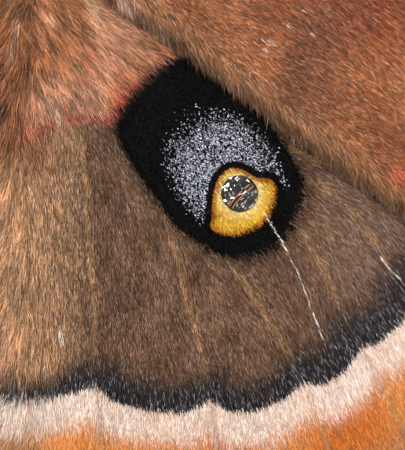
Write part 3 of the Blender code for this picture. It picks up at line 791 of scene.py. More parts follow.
def from_pane(spots, clear):
    """How far outside a clear pane each spot is, under 0 on the pane."""
    off = (spots - np.array(clear["centre"])) * np.array([1.0, clear["stretch"]])
    return np.linalg.norm(off, axis=1) - clear["radius"]


def hind_marks(spots, side):
    """Where each spot lies among the hindwing's markings, in millimetres."""
    patch, ring, base, band, *streaks = hind_chart(spots).T
    way = np.array(SPOT_WAY)
    off = spots - np.array(DUST_MIDDLE)
    along = off @ way
    beside = off @ np.array([-way[1], way[0]])
    dust = np.sqrt((along / DUST_HALF[0]) ** 2 + (beside / DUST_HALF[1]) ** 2)
    worn = np.zeros(len(spots))
    if side > 0:
        scratch = np.min([np.abs(distance(spots, np.array(line))) for line in SCRATCHES], axis=0)
        spot = np.linalg.norm((spots - np.array(WORN_SPOT)) * np.array([1.0, 0.5]), axis=1)
        worn = np.maximum(1.0 - scratch / SCRATCH_HALF, 0.6 - spot / WORN_HALF).clip(0.0, 1.0)
    return {
        "place": np.column_stack([spots, HIND.edge(spots)]),
        "lines": np.column_stack([base, band, HIND.vein(spots)]),
        "spot": np.column_stack([patch, ring, from_pane(spots, HIND_PANE)]),
        "dust": np.column_stack([dust, along, worn]),
        "streak": np.column_stack(streaks),
    }


def hair_tone(finish, colour, least=0.2, most=2.5, pale=0.4):
    """The colour with each hair darker or lighter than the next, and a few of them pale, partly as painted
    glints.
    """
    light, hue, _ = finish.marks("lot")
    toned = finish.mix(1.0, colour, light * light * (most - least) + least, "MULTIPLY")
    return finish.mix((hue > PALE_FROM) * pale, toned, finish.mix(0.5, colour, HAIR_PALE_AND_GLINT))


def scaly_skin(finish, colour, shade=0.0):
    """The skin under the hairs, roughened by the small scales that stay on it. A shade share darkens it
    between them with painted shade.
    """
    inputs = {"Vector": finish.field("place"), "Scale": GRAIN_SCALE}
    grain = finish.node("ShaderNodeTexVoronoi", None, inputs)
    if shade:
        # Painted shade between the scales.
        colour = finish.mix(grain * shade, colour, GRAIN_PAINTED_SHADE, "MULTIPLY")
    return finish.done(colour, grain, GRAIN_DEPTH)


def hind_top_finish(name, skin, gloss):
    """The upper face. Distances are in millimetres, and hue and pick differ from hair to hair."""
    finish = Finish(name, 0.6, Specular_IOR_Level=gloss)
    mix, mask, stripe = finish.mix, finish.mask, finish.stripe
    place = finish.field("place")
    x, y, edge = finish.parts(place)
    base, band, vein = finish.marks("lines")
    patch, ring, pane = finish.marks("spot")
    dust, along, worn = finish.marks("dust")
    dark, pale, red = finish.marks("streak")
    _, hue, pick = finish.marks("lot")
    cloud = finish.noise(place, 0.35)
    drift = finish.noise(place, 0.12, stretch=(1.8, 0.7, 0.0))

    rosy = finish.math("MAXIMUM", mask(x, 11.8, 13.0), mask(y, -12.4, -14.2))
    salmon = mix(rosy * mask(drift, 0.3, 0.5), SALMON, SALMON_PINK)
    salmon = mix(mask(x, 9.5, 7.0), salmon, SALMON_INNER)
    # Painted shadow: a dark olive spot in a crease of the folded base.
    crease_shadow = stripe(y + 15.4, 0.9, 0.3) * mask(x, 7.4, 6.6)
    salmon = mix(crease_shadow * 0.7, salmon, CREASE_SHADOW_OLIVE)
    brown = finish.mottled(cloud, BROWN, BROWN_LIGHT)
    brown = mix(mask(x, 27.0, 33.0), brown, BROWN_OUTER)
    brown = mix(mask(x, 14.0, 6.8), brown, TAN_INNER)
    brown = mix(mask(y, -22.0, -18.0) * mask(x, 12.0, 8.0), brown, TAN_SHADE)
    colour = mix(mask(base, -0.3, 0.3), salmon, brown)
    # Golden stripes along the veins, partly their own colour and partly painted sheen of the raised veins.
    vein_gold_and_sheen = mask(vein, 0.4, 0.1) * mask(base, 0.0, 1.0)
    colour = mix(vein_gold_and_sheen * 0.5, colour, VEIN_GOLD_AND_SHEEN)
    crimson = stripe(base + 0.15, 0.42, 0.12) * mask(x, 19.0, 18.0)
    crimson = crimson * mask(finish.noise(place, 0.6), 0.3, 0.55) * mask(x, 6.6, 8.5)
    colour = mix(crimson * 0.8, colour, CRIMSON)
    # Painted shade in the creases of the base.
    colour = mix(dark * 0.75, colour, CREASE_SHADE_BROWN)
    # Painted light along the folds of the base, with some pale specks.
    colour = mix(pale * 0.6, colour, PALE_AND_FOLD_LIGHT)
    colour = mix(red * mask(hue, 0.1, 0.9) * 0.6, colour, STREAK_RED)

    breadth = 1.8 + 0.8 * mask(x, 9.0, 14.0) + 1.2 * mask(x, 25.0, 31.0)
    smoke = mask(band / breadth + (pick - 0.5) * 0.4, -1.25, -0.4)
    colour = mix(smoke * 0.96, colour, SMOKE)
    frost = mask(band / breadth, -0.95, -0.1) * (hue > 0.84)
    colour = mix(frost * 0.85, colour, FROST)
    white = finish.mottled(cloud, WHITE_PINK, WHITE, 0.3, 0.7)
    white = mix(mask(x, 19.0, 9.0) * 0.7, white, WHITE_INNER)
    beyond = band > 0.0
    colour = mix(beyond, colour, white)
    orange = finish.mottled(drift, ORANGE, ORANGE_LIGHT)
    orange = mix(mask(x, 20.0, 10.0) * 0.7, orange, ORANGE_INNER)
    orange = mix(mask(edge, 4.0, 1.0) * 0.7, orange, ORANGE_RIM)
    wide = 1.5 + finish.noise(place, 0.22) * 1.6
    ochre = mask(band - wide + (hue - 0.5) * 1.2, -0.6, 0.9) * beyond
    colour = mix(ochre, colour, orange)
    vein_line = mask(vein, 0.22, 0.05) * beyond
    colour = mix(vein_line * 0.6, colour, mix(ochre, VEIN_ON_WHITE, VEIN_ON_ORANGE))

    halo = mask(patch, 1.3, 0.0) * mask(base, -0.2, 0.4)
    colour = mix(halo * 0.65, colour, HALO)
    colour = mix(patch + (pick - 0.5) * 0.5 < 0.0, colour, BLACK)
    thick = mask(dust, 1.03, 0.8) * (0.16 + 0.28 * mask(dust, 0.95, 0.55))
    thick = thick * mask(along, 3.9, 3.2) * mask(ring, 0.38, 0.55) * (patch < -0.3)
    thick = thick * (0.35 + 0.65 * mask(along, -4.6, -2.2))
    colour = mix(pick < thick, colour, mix(hue, DUST_DIM, DUST_BRIGHT))
    yellow = mix(mask(pane, 0.9, 0.1), YELLOW, YELLOW_PALE)
    yellow = mix(mask(ring + (hue - 0.5) * 0.4, -0.38, -0.15) * 0.95, yellow, RING_RIM)
    colour = mix(ring < 0.0, colour, yellow)
    colour = mix(pane < 0.0, colour, PANE_DARK)
    colour = mix(worn > pick * 0.9, colour, BARE_MEMBRANE)
    if skin:
        return scaly_skin(finish, colour, 0.8)
    even = finish.math("MAXIMUM", beyond, patch < 0.0)
    return finish.done(mix(even, hair_tone(finish, colour), hair_tone(finish, colour, *EVEN_TONE)))


def under_finish(name, skin):
    """The undersides: soft tan and brown, marbled, with a dark line across and a paler band past it."""
    finish = Finish(name, 0.65, Specular_IOR_Level=0.3)
    _, band, vein = finish.marks("lines")
    pane = finish.marks("spot")[2]
    marble = finish.noise(finish.field("place"), 0.5, detail=4.0)
    colour = finish.mottled(marble, UNDER_BROWN, UNDER_TAN)
    colour = finish.mix(finish.mask(band, -5.0, -0.4) * 0.5, colour, UNDER_SHADE)
    colour = finish.mix(finish.stripe(band, 0.7, 0.15) * 0.85, colour, UNDER_LINE)
    colour = finish.mix(finish.mask(band, 0.6, 1.4) * 0.7, colour, UNDER_BAND)
    colour = finish.mix(finish.mask(vein, 0.3, 0.1) * 0.5, colour, UNDER_VEIN)
    colour = finish.mix(finish.mask(pane, 0.7, 0.3), colour, UNDER_RING)
    colour = finish.mix(pane < 0.0, colour, PANE_DARK)
    return scaly_skin(finish, colour) if skin else finish.done(hair_tone(finish, colour))


PANE_CLEAR = 0.05
HAIR_STRAY = 0.16
COVERED_EDGE = 2.5
COVERED_SHARE = 0.35


def hind_hairs(roots):
    """Each hair's length, width, height and how far it strays, and whether it is there at all.

    The hairs are long in the base, and thinner sown where the forewing covers them.
    """
    marks = hind_marks(roots, 1.0)
    base = marks["lines"][:, 0]
    patch = marks["spot"][:, 0]
    hairy = np.maximum(smooth_step(-base, -2.0, 2.5), 1.0 - smooth_step(roots[:, 0], 7.0, 12.0))
    covered = within(roots, FORE.rim) & (FORE.edge(roots) > COVERED_EDGE)
    thinned = np.random.default_rng(len(roots)).uniform(0.0, 1.0, len(roots)) < COVERED_SHARE
    keep = (patch > -0.12) & (~covered | thinned)
    return 0.5 + 0.65 * hairy, 0.068 - 0.004 * hairy, 0.07 + 0.08 * hairy, HAIR_STRAY, keep


def spot_scales(roots):
    """The eyespot's scales are short and broad, set close, and none lies on the clear pane."""
    patch, ring, pane = hind_marks(roots, 1.0)["spot"].T
    on_ring = ring < 0.1
    rim = patch > -0.5
    long = np.where(on_ring, 0.4, np.where(rim, 0.62, 0.19))
    wide = np.where(on_ring, 0.08, np.where(rim, 0.07, 0.085))
    wander = np.where(on_ring | rim, HAIR_STRAY, 0.4)
    return long, wide, 0.04, wander, (patch < 0.15) & (pane > PANE_CLEAR)


def under_scales(clear):
    """Broad sparse scales for an underside, with none on its clear pane."""
    return lambda roots: (0.9, 0.13, 0.09, 0.2, from_pane(roots, clear) > PANE_CLEAR)


hind_skin = hind_top_finish("hindwing_skin", True, 0.2)
hind_coat = hind_top_finish("hindwing_hairs", False, 0.25)
spot_coat = hind_top_finish("eyespot_scales", False, 0.06)
under_skin = under_finish("underside_skin", True)
under_coat = under_finish("underside_scales", False)
TOP = 1
UNDER = -1
HIND_COATS = [
    ("hairs", TOP, 150, hind_hairs, hind_coat, 10),
    ("eyespot", TOP, 400, spot_scales, spot_coat, 20, FLAT_SCALE, 0.5),
    ("under", UNDER, 30, under_scales(HIND_PANE), under_coat, 30),
]


def dressed_wing(kind, word, side, wing, marks_of, skin, coats):
    """One wing's skin and its coats.

    A coat has its name, face, scales to the square millimetre, sizes, finish and seed.
    """
    name = f"{kind}wing_{word}"
    membrane(name, wing, side, marks_of, skin, under_skin, [f"wing_{kind}_{word}"])
    for coat, face, density, size_of, finish, seed, *form in coats:
        seed += int(side < 0)
        wing_scales(f"{name}_{coat}", wing, side, face, density, marks_of, size_of, finish, seed, *form)


for word, side in SIDES.items():
    dressed_wing("hind", word, side, HIND, hind_marks, hind_skin, HIND_COATS)

# The clear panes: a round spot of bare membrane in each wing's eyespot, dark and glassy, and crumpled like
# cellophane. The skin round it holds it, and a pair of fine brown veins crosses the hindwing's.
PANE_RINGS = 26
PANE_SIDES = 72
PANE_LAP = 0.06
PANE_LIFT = 0.04
PANE_VEIN = [(-0.62, -0.98), (-0.2, -0.42), (0.25, 0.05), (0.9, 0.62)]
PANE_VEIN_GAP = 0.14
PANE_VEIN_LIFT = 0.12
PANE_VEIN_RADIUS = 0.055
CREASES = [(0.15, 1.5, 31), (0.05, 0.6, 32)]
CREASE_REACH = 1.35
CLOUDS = (0.35, 0.65)
UP = np.array([0.0, 0.0, 1.0])


def limb_rings(line, radii, sides):
    """Rings of a round limb along a line."""
    run = unit(np.gradient(line, axis=0))
    across = unit(np.cross(run, UP))
    up = np.cross(across, run)
    turn = (np.arange(sides) + 0.5) * math.tau / sides
    round_way = across[:, None] * np.cos(turn)[None, :, None] + up[:, None] * np.sin(turn)[None, :, None]
    return line[:, None] + round_way * radii[:, None, None]


def ring_faces(rows, sides, start=0):
    """Faces between rings of points that follow each other."""
    faces = []
    for row in range(rows - 1):
        for k in range(sides):
            a = start + row * sides + k
            b = start + row * sides + (k + 1) % sides
            faces.append((a, b, b + sides, a + sides))
    return faces


def tubes(name, limbs, finish, replaced=(), fanned=False):
    """Closed limbs through rings of points, as one mesh. A fanned end has a point in its middle."""
    points, faces = [], []
    start = 0
    for rings in limbs:
        rows, sides, _ = rings.shape
        points.append(rings.reshape(-1, 3))
        faces += ring_faces(rows, sides, start)
        last = start + (rows - 1) * sides
        end = last + sides
        if fanned:
            points.append(rings[[0, -1]].mean(axis=1))
            faces += [(start + (k + 1) % sides, start + k, end) for k in range(sides)]
            faces += [(last + k, last + (k + 1) % sides, end + 1) for k in range(sides)]
        else:
            faces += [tuple(reversed(range(start, start + sides))), tuple(range(last, end))]
        start = end + (2 if fanned else 0)
    mesh = smooth_mesh(name, np.vstack(points), faces, finish)
    shape = bmesh.new()
    shape.from_mesh(mesh)
    bmesh.ops.recalc_face_normals(shape, faces=shape.faces)
    shape.to_mesh(mesh)
    shape.free()
    place_object(name, mesh, replaced)


def cloudy_finish(name, roughness, scale, detail, tones, spread, depth=0.0, **constants):
    """Horn or bare skin in two tones, in soft clouds that also raise it by depth."""
    finish = Finish(name, roughness, **constants)
    cloud = finish.noise(finish.here(), scale, detail=detail)
    share = finish.mask(cloud, *spread) if spread else cloud
    return finish.done(finish.mix(share, *tones), cloud if depth else None, depth)


def crumpled(spots, centre):
    """How far the clear membrane stands up over the skin, in small creases."""
    creases = sum(high * np.abs(ripple(spots, run, seed)) for high, run, seed in CREASES)
    inward = np.clip(1.0 - np.linalg.norm(spots - centre, axis=-1) / CREASE_REACH, 0.0, 1.0)
    return PANE_LIFT + creases * np.clip(inward * 5.0, 0.0, 1.0)


def pane(name, wing, side, clear):
    """A crumpled disc over the skin of one clear spot."""
    turn = np.arange(PANE_SIDES) * math.tau / PANE_SIDES
    reach = np.linspace(clear["radius"] + PANE_LAP, 0.03, PANE_RINGS)
    round_way = np.column_stack([np.cos(turn), np.sin(turn) / clear["stretch"]])
    centre = np.array(clear["centre"])
    flat = (centre + reach[:, None, None] * round_way[None]).reshape(-1, 2)
    points = np.column_stack([side * flat[:, 0], flat[:, 1], wing.top(flat) + crumpled(flat, centre)])
    last = (PANE_RINGS - 1) * PANE_SIDES
    faces = [*ring_faces(PANE_RINGS, PANE_SIDES), tuple(range(last, last + PANE_SIDES))]
    faces = [face[::int(side)] for face in faces]
    place_object(name, smooth_mesh(name, points, faces, pane_glass))


glass = {"Specular_IOR_Level": 1.0, "Coat_Weight": 0.8, "Coat_Roughness": 0.16}
glass_tones = [(0.012, 0.009, 0.008), (0.06, 0.045, 0.035)]
pane_glass = cloudy_finish("pane_membrane", 0.2, 1400.0, 3.0, glass_tones, (0.4, 0.7), 0.00003, **glass)
vein_tones = [(0.3, 0.09, 0.025), (0.5, 0.19, 0.06)]
pane_brown = cloudy_finish("pane_vein", 0.4, 1500.0, 2.0, vein_tones, None, Specular_IOR_Level=0.4)

for word, side in SIDES.items():
    pane(f"hindwing_{word}_pane", HIND, side, HIND_PANE)
    vein_line = smooth_line(PANE_VEIN, 8) + np.array(HIND_PANE["centre"])
    veins = []
    for off in (PANE_VEIN_GAP, -PANE_VEIN_GAP):
        flat = shifted(vein_line, off)
        line = np.column_stack([side * flat[:, 0], flat[:, 1], HIND.top(flat) + PANE_VEIN_LIFT])
        veins.append(limb_rings(line, np.full(len(line), PANE_VEIN_RADIUS), 8))
    tubes(f"hindwing_{word}_pane_veins", veins, pane_brown)

# The forewings: tan to reddish brown hair, grey along the front edge. They carry a maroon line near the
# base, a small ringed clear spot, a soft darker shade and, near the rim, a dark line edged pinkish white.
FORE_BASE_LINE = [(13.0, 12.0), (13.8, 6.5), (12.2, 2.0), (14.6, -1.5), (14.0, -9.0)]
FORE_SHADE_LINE = [(40.0, 18.0), (36.5, 8.0), (34.0, 0.0), (30.5, -7.0), (27.0, -18.0)]
FORE_BAND_LINE = [
    (58.5, 17.5), (57.4, 12.0), (56.0, 7.0), (53.2, 2.0), (50.0, -3.5), (46.6, -9.5), (43.4, -15.5),
    (40.6, -20.5), (38.4, -26.0),
]
FORE_PANE = {"centre": (32.6, 2.6), "radius": 0.95, "stretch": 0.8}
COSTA = [(3.7, 5.6), (14.0, 11.2), (23.0, 14.8), (34.0, 17.6), (45.0, 18.6), (55.0, 17.6), (62.5, 14.9)]
WORN_SPECKS = [
    (27.6, -8.1), (28.3, -9.2), (28.5, -9.9), (26.8, -9.4), (25.1, -10.5), (25.5, -10.7), (25.1, -11.2),
    (33.1, -12.4),
]
SPECK_HALF = 0.6
RED_SPOT = (34.8, -20.1)
# Tones, as linear red, green and blue
RED_BROWN = (0.31, 0.1, 0.038)
RED_TAN = (0.43, 0.16, 0.066)
RUST = (0.3, 0.062, 0.022)
RUST_SHADE = (0.16, 0.05, 0.022)
CROSS_SHADE = (0.15, 0.06, 0.035)
FRINGE_TAN = (0.34, 0.16, 0.072)
FRINGE_OLIVE_AND_SHADE = (0.12, 0.06, 0.028)
SPOT_RED = (0.6, 0.14, 0.08)
LINE_PINK = (0.62, 0.38, 0.3)
LINE_MAROON = (0.2, 0.03, 0.03)
COSTA_GREY = (0.36, 0.32, 0.29)
MARGIN_TAN = (0.5, 0.27, 0.13)
MARGIN_RIM = (0.36, 0.18, 0.1)
LINE_DARK = (0.06, 0.03, 0.028)
LINE_WHITE = (0.8, 0.58, 0.5)
TIP_PINK = (0.62, 0.3, 0.3)
TIP_BLACK = (0.04, 0.02, 0.02)
EYE_BLACK = (0.02, 0.012, 0.012)
EYE_RED = (0.5, 0.09, 0.07)
EYE_YELLOW = (0.84, 0.5, 0.09)
SPECK_WHITE = (0.85, 0.78, 0.7)


def survey_fore(spots):
    """How far each spot is from the forewing's markings, worked out on the chart's grid."""
    base = distance(spots, evenly(smooth_line(FORE_BASE_LINE), 0.8))
    shade = distance(spots, evenly(smooth_line(FORE_SHADE_LINE), 1.2))
    band = distance(spots, evenly(smooth_line(FORE_BAND_LINE), 0.8))
    costa = np.abs(distance(spots, evenly(smooth_line(COSTA), 1.5)))
    rear = distance(spots, FORE.swept_line)
    return np.column_stack([base, shade, band, costa, rear])


fore_chart = Chart(FORE.low, FORE.high, survey_fore)


def fore_marks(spots, side):
    """Where each spot lies among the forewing's markings, in millimetres."""
    base, shade, band, costa, rear = fore_chart(spots).T
    worn = np.zeros(len(spots))
    if side > 0:
        for speck in WORN_SPECKS:
            near = np.linalg.norm((spots - np.array(speck)) * np.array([1.3, 0.9]), axis=1)
            worn = np.maximum(worn, 0.5 - near / SPECK_HALF)
    red = np.linalg.norm(spots - np.array(RED_SPOT), axis=1)
    return {
        "place": np.column_stack([spots, FORE.edge(spots)]),
        "lines": np.column_stack([base, band, FORE.vein(spots)]),
        "spot": np.column_stack([shade, rear, from_pane(spots, FORE_PANE)]),
        "dust": np.column_stack([costa, red, worn]),
    }


def fore_top_finish(name, skin):
    """The upper face. Distances are in millimetres, and pick differs from hair to hair."""
    finish = Finish(name, 0.6, Specular_IOR_Level=0.25)
    mix, mask, stripe = finish.mix, finish.mask, finish.stripe
    place = finish.field("place")
    x, y, edge = finish.parts(place)
    base, band, _ = finish.marks("lines")
    shade, rear, pane = finish.marks("spot")
    costa, red, worn = finish.marks("dust")
    pick = finish.marks("lot")[2]
    colour = finish.mottled(finish.noise(place, 0.22, detail=3.0), RED_BROWN, RED_TAN)
    colour = mix(mask(x, 24.0, 33.0) * mask(y, -14.0, -9.0) * 0.6, colour, RUST)
    dark = stripe(x - y * 0.35 - 31.7, 1.8, 0.6) * mask(y, -8.0, -9.4)
    colour = mix(dark * 0.5, colour, RUST_SHADE)
    colour = mix(stripe(shade, 4.0, 0.5) * 0.35, colour, CROSS_SHADE)
    colour = mix(mask(rear, 2.6, 1.0) * 0.7, colour, FRINGE_TAN)
    # The olive fringe along the rear rim, partly its own colour and partly painted shade.
    colour = mix(mask(rear, 0.7, 0.0) * 0.85, colour, FRINGE_OLIVE_AND_SHADE)
    colour = mix(mask(red, 1.3, 0.3) * 0.7, colour, SPOT_RED)
    colour = mix(mask(base, 2.6, 0.2) * (base > 0.0) * 0.7, colour, LINE_PINK)
    colour = mix(stripe(base, 0.7, 0.25) * 0.85, colour, LINE_MAROON)
    colour = mix(mask(costa, 3.4, 1.4) * 0.85, colour, COSTA_GREY)
    past = mask(band, 0.0, 0.15)
    colour = mix(past, colour, MARGIN_TAN)
    colour = mix(mask(edge, 3.0, 0.6) * past * 0.6, colour, MARGIN_RIM)
    colour = mix(stripe(band + 0.25, 0.5, 0.3) * 0.9, colour, LINE_DARK)
    colour = mix(stripe(band - 0.55, 0.6, 0.35) * 0.9, colour, LINE_WHITE)
    tip = stripe(y - 10.5, 2.6, 1.6) * mask(x, 58.0, 60.5)
    colour = mix(tip * 0.75, colour, TIP_PINK)
    colour = mix(tip * mask(x, 61.0, 61.8) * mask(x, 64.5, 63.5), colour, TIP_BLACK)
    colour = mix(pane < 1.35, colour, EYE_BLACK)
    colour = mix(mask(pane, 1.1, 1.0), colour, EYE_RED)
    colour = mix(pane < 0.75, colour, EYE_YELLOW)
    colour = mix(pane < 0.0, colour, PANE_DARK)
    colour = mix(worn > pick * 0.9, colour, SPECK_WHITE)
    return scaly_skin(finish, colour, 0.8) if skin else finish.done(hair_tone(finish, colour))


def fore_hairs(roots):
    """Each hair's sizes, longest at the base and in the fringe over the hindwing."""
    _, rear, clear = fore_marks(roots, 1.0)["spot"].T
    fringe = 1.0 - smooth_step(rear, 0.3, 1.6)
    long = 0.5 + 0.55 * fringe + 0.5 * (1.0 - smooth_step(roots[:, 0], 8.0, 16.0))
    wide = 0.066 - 0.012 * fringe
    return long, wide, 0.07 - 0.03 * fringe, HAIR_STRAY + 0.06 * fringe, clear > PANE_CLEAR


fore_skin = fore_top_finish("forewing_skin", True)
fore_coat = fore_top_finish("forewing_scales", False)
FORE_COATS = [
    ("hairs", TOP, 118, fore_hairs, fore_coat, 40),
    ("under", UNDER, 30, under_scales(FORE_PANE), under_coat, 50),
]
for word, side in SIDES.items():
    dressed_wing("fore", word, side, FORE, fore_marks, fore_skin, FORE_COATS)
    pane(f"forewing_{word}_pane", FORE, side, FORE_PANE)

# The body: one skin over the head, thorax and abdomen, with a lip at each ring of the abdomen. The head and
# thorax wear deep wool that hides their joint, and the abdomen a shorter, smoother coat in pale rings.
# Each ring of the skin has its place along the body, height, half width and half height.
THORAX_RINGS = [
    (8.6, 7.5, 2.7, 2.6), (7.8, 7.4, 4.2, 3.8), (5.6, 7.3, 5.3, 4.8), (2.4, 7.3, 6.0, 5.3),
    (-1.6, 7.2, 6.1, 5.2), (-5.2, 7.0, 5.5, 4.8), (-7.8, 6.6, 4.6, 4.1), (-8.8, 6.4, 3.2, 3.0),
]
ABDOMEN_RINGS = [
    (-6.8, 6.2, 2.4, 2.4), (-7.6, 6.0, 3.6, 3.5), (-10.4, 5.6, 4.2, 4.0), (-14.0, 5.0, 4.4, 4.2),
    (-17.6, 4.5, 4.3, 4.1), (-21.0, 3.7, 3.9, 3.75), (-24.0, 2.9, 3.4, 3.3), (-26.6, 2.1, 2.7, 2.5),
    (-28.2, 1.6, 1.7, 1.6), (-28.8, 1.4, 0.8, 0.9),
]
HEAD_RINGS = [
    (7.0, 7.2, 1.2, 1.2), (8.2, 7.2, 2.2, 2.0), (9.8, 7.1, 2.6, 2.3), (11.4, 6.9, 2.5, 2.2),
    (12.6, 6.6, 1.9, 1.8), (13.4, 6.4, 1.1, 1.1), (13.8, 6.3, 0.5, 0.5),
]
SEGMENT_EDGES = [-10.6, -13.6, -16.6, -19.5, -22.2, -24.6]
SEGMENT_LIP = 0.16
SEGMENT_RUN = 0.8
THORAX_DEPTH = 1.1
HEAD_DEPTH = 0.5
ABDOMEN_DEPTH = 0.4
PARTS_OF_BODY = [(THORAX_RINGS, THORAX_DEPTH), (HEAD_RINGS, HEAD_DEPTH), (ABDOMEN_RINGS, ABDOMEN_DEPTH)]
TAIL_Y = -28.8
FACE_Y = 13.8
PROFILE_STEP = 0.1
PROFILE_BLUR = 4
BODY_STEP = 0.35
BODY_SIDES = 56
BODY_TIP = 0.25
BELLY_GAP = 0.12
WOOL_BROWN = (0.3, 0.15, 0.075)
WOOL_LIGHT = (0.42, 0.24, 0.13)
COLLAR_GREY = (0.5, 0.43, 0.38)
ABDOMEN_TAN = (0.42, 0.24, 0.14)
ABDOMEN_LIGHT = (0.54, 0.34, 0.22)
SEGMENT_PALE = (0.66, 0.5, 0.38)
BELLY_PALE = (0.55, 0.42, 0.33)
SKIN_BROWN = (0.1, 0.06, 0.04)


def body_profile():
    """The body's middle height, half width and half height at even places from the tail to the face."""
    places = np.arange(TAIL_Y, FACE_Y + 0.01, PROFILE_STEP)
    middles, wides, highs = [], [], []
    for rings, depth in PARTS_OF_BODY:
        line = smooth_line(rings, 6)[::-1]
        there = (places >= line[0, 0]) & (places <= line[-1, 0])
        middle, wide, high = (np.interp(places, line[:, 0], line[:, k]) for k in (1, 2, 3))
        middles.append(middle)
        wides.append(np.where(there, np.clip(wide - depth, 0.0, None), 0.0))
        highs.append(np.where(there, np.clip(high - depth, 0.0, None), 0.0))
    weight = np.array(wides) ** 4 + 1e-9
    middle = (np.array(middles) * weight).sum(axis=0) / weight.sum(axis=0)
    blur = np.hanning(2 * PROFILE_BLUR + 3)[1:-1]
    blur /= blur.sum()
    rows = (middle, np.max(wides, axis=0), np.max(highs, axis=0))
    rows = [np.pad(row, PROFILE_BLUR, mode="edge") for row in rows]
    middle, wide, high = (np.convolve(row, blur, mode="valid") for row in rows)
    for edge in SEGMENT_EDGES:
        behind = (places - edge) / SEGMENT_RUN
        lip = SEGMENT_LIP * np.where(behind > 0, np.exp(-behind * 2.2), np.exp(behind * 9.0))
        wide = wide + lip
        high = high + lip
    return places, middle, np.maximum(wide, BODY_TIP), np.maximum(high, BODY_TIP)


BODY_PLACES, BODY_MIDDLES, BODY_WIDES, BODY_HIGHS = body_profile()


def body_at(y, turn):
    """Points on the body's skin, at places along it and turns up from its right side."""
    middle, wide, high = (np.interp(y, BODY_PLACES, row) for row in (BODY_MIDDLES, BODY_WIDES, BODY_HIGHS))
    return np.stack([wide * np.cos(turn), y, np.maximum(middle + high * np.sin(turn), BELLY_GAP)], axis=-1)


def body_colour(finish, place):
    """Grey-white behind the head, brown wool on the thorax, and tan rings down the abdomen."""
    _, y, z = finish.parts(place)
    cloud = finish.noise(place, 0.35, detail=3.0)
    colour = finish.mottled(cloud, WOOL_BROWN, WOOL_LIGHT)
    colour = finish.mix(finish.stripe(y - 6.2, 1.5, 0.7) * 0.8, colour, COLLAR_GREY)
    tan = finish.mottled(cloud, ABDOMEN_TAN, ABDOMEN_LIGHT)
    colour = finish.mix(finish.mask(y, -7.0, -10.0), colour, tan)
    for edge in SEGMENT_EDGES:
        colour = finish.mix(finish.stripe(y - edge - 0.3, 0.7, 0.2) * 0.45, colour, SEGMENT_PALE)
    return finish.mix(finish.mask(z, 3.0, 1.0) * 0.5, colour, BELLY_PALE)


def body_skin_finish():
    """The skin that shows between the hairs, darker than they are."""
    finish = Finish("body_skin", 0.75, Specular_IOR_Level=0.25)
    place = finish.vectors("SCALE", {0: finish.here(), "Scale": 1.0 / MM})
    place = finish.vectors("SUBTRACT", {0: place, 1: (0.0, AHEAD, 0.0)})
    grain = finish.noise(place, 9.0, stretch=(1.0, 0.3, 1.0))
    return finish.done(finish.mix(0.5, body_colour(finish, place), SKIN_BROWN), grain, 0.00015)


rows = np.append(np.arange(TAIL_Y, FACE_Y, BODY_STEP), FACE_Y)
turns = np.arange(BODY_SIDES) * math.tau / BODY_SIDES
body_rings = body_at(*np.broadcast_arrays(rows[:, None], turns[None]))
body_skin = body_skin_finish()
body_wool = Finish("body_wool", 0.75, Specular_IOR_Level=0.25)
body_wool = body_wool.done(hair_tone(body_wool, body_colour(body_wool, body_wool.field("place")), 0.5, 1.5))
tubes("body", [body_rings], body_skin, ["head", "thorax", "abdomen"], fanned=True)

# The wool: long soft scales of horn rooted all over the body, gathered into small clumps. They lie back to
# the tail, and ahead on the face. A lock's profile is read as a hair's is.
LOCK = [(0.0, 0.8, 0.0), (0.35, 1.0, 0.7), (0.7, 0.7, 1.0), (1.0, 0.0, 0.9)]
SHORT_LOCK = [(0.0, 0.9, 0.0), (0.5, 0.8, 0.9), (1.0, 0.0, 1.0)]
BODY_LENGTH_UV = 44.0
BODY_START_UV = 29.5
GATHER = 0.55
CLUMP_LIGHT = 0.35
WOOL_SUNK = 0.05
WOOL_ROLL = 0.5


def body_wool_coat(name, low, high, density, shape_of, profile, seed, clump):
    """Wool on the body between two places along it, gathered into soft locks."""
    dice = np.random.default_rng(seed)
    widest = BODY_WIDES[(BODY_PLACES >= low) & (BODY_PLACES <= high)].max() * math.tau
    flat = scattered(np.array([0.0, low]), np.array([widest, high]), density, dice)
    share = np.interp(flat[:, 1], BODY_PLACES, BODY_WIDES) * math.tau / widest
    flat = flat[dice.uniform(0.0, 1.0, len(flat)) < share]
    turn = flat[:, 0] / widest * math.tau
    y = flat[:, 1]
    count = len(y)
    roots = body_at(y, turn)
    back = unit(body_at(y - 0.15, turn) - roots)
    around = unit(body_at(y, turn + 0.02) - roots)
    out = unit(np.cross(around, back))
    long, wide, rise, lean, stray = (np.broadcast_to(size, count) for size in shape_of(y))
    lie = unit(back * lean[:, None] + out * (1.0 - np.abs(lean))[:, None])
    lie = unit(lie + around * (dice.normal(0.0, 1.0, count) * stray)[:, None])
    long = long * dice.uniform(0.7, 1.25, count)
    row = np.floor(y / clump)
    cell_y = (row + 0.5) * clump
    cells = np.maximum(np.round(widest / clump), 1)
    shift = 0.5 * (row % 2)
    cell_turn = (np.floor(turn / math.tau * cells + shift) + 0.5 - shift) / cells * math.tau
    gather = (body_at(cell_y, cell_turn) - roots) * GATHER
    raised = unit(out - lie * (out * lie).sum(axis=1)[:, None])
    lot = dice.uniform(0.0, 1.0, (count, 3))
    of_clump = np.sin(cell_y * 12.9898 + np.round(cell_turn, 3) * 78.233) * 43758.5453 % 1.0
    lot[:, 0] = (1.0 - CLUMP_LIGHT) * lot[:, 0] + CLUMP_LIGHT * of_clump
    uv = MAP_EDGE + MAP_ROOM * np.column_stack([turn / math.tau, (y + BODY_START_UV) / BODY_LENGTH_UV])
    fields = {"place": roots + lie * (0.5 * long)[:, None], "lot": lot}
    rise = rise * dice.uniform(0.6, 1.3, count)
    roll = dice.normal(0.0, WOOL_ROLL, count)
    wide = wide * dice.uniform(0.7, 1.3, count)
    roots = roots - out * WOOL_SUNK
    tufts(
        name, roots, lie, raised, long, wide, rise, profile, uv, fields, body_wool, roll, gather
    )


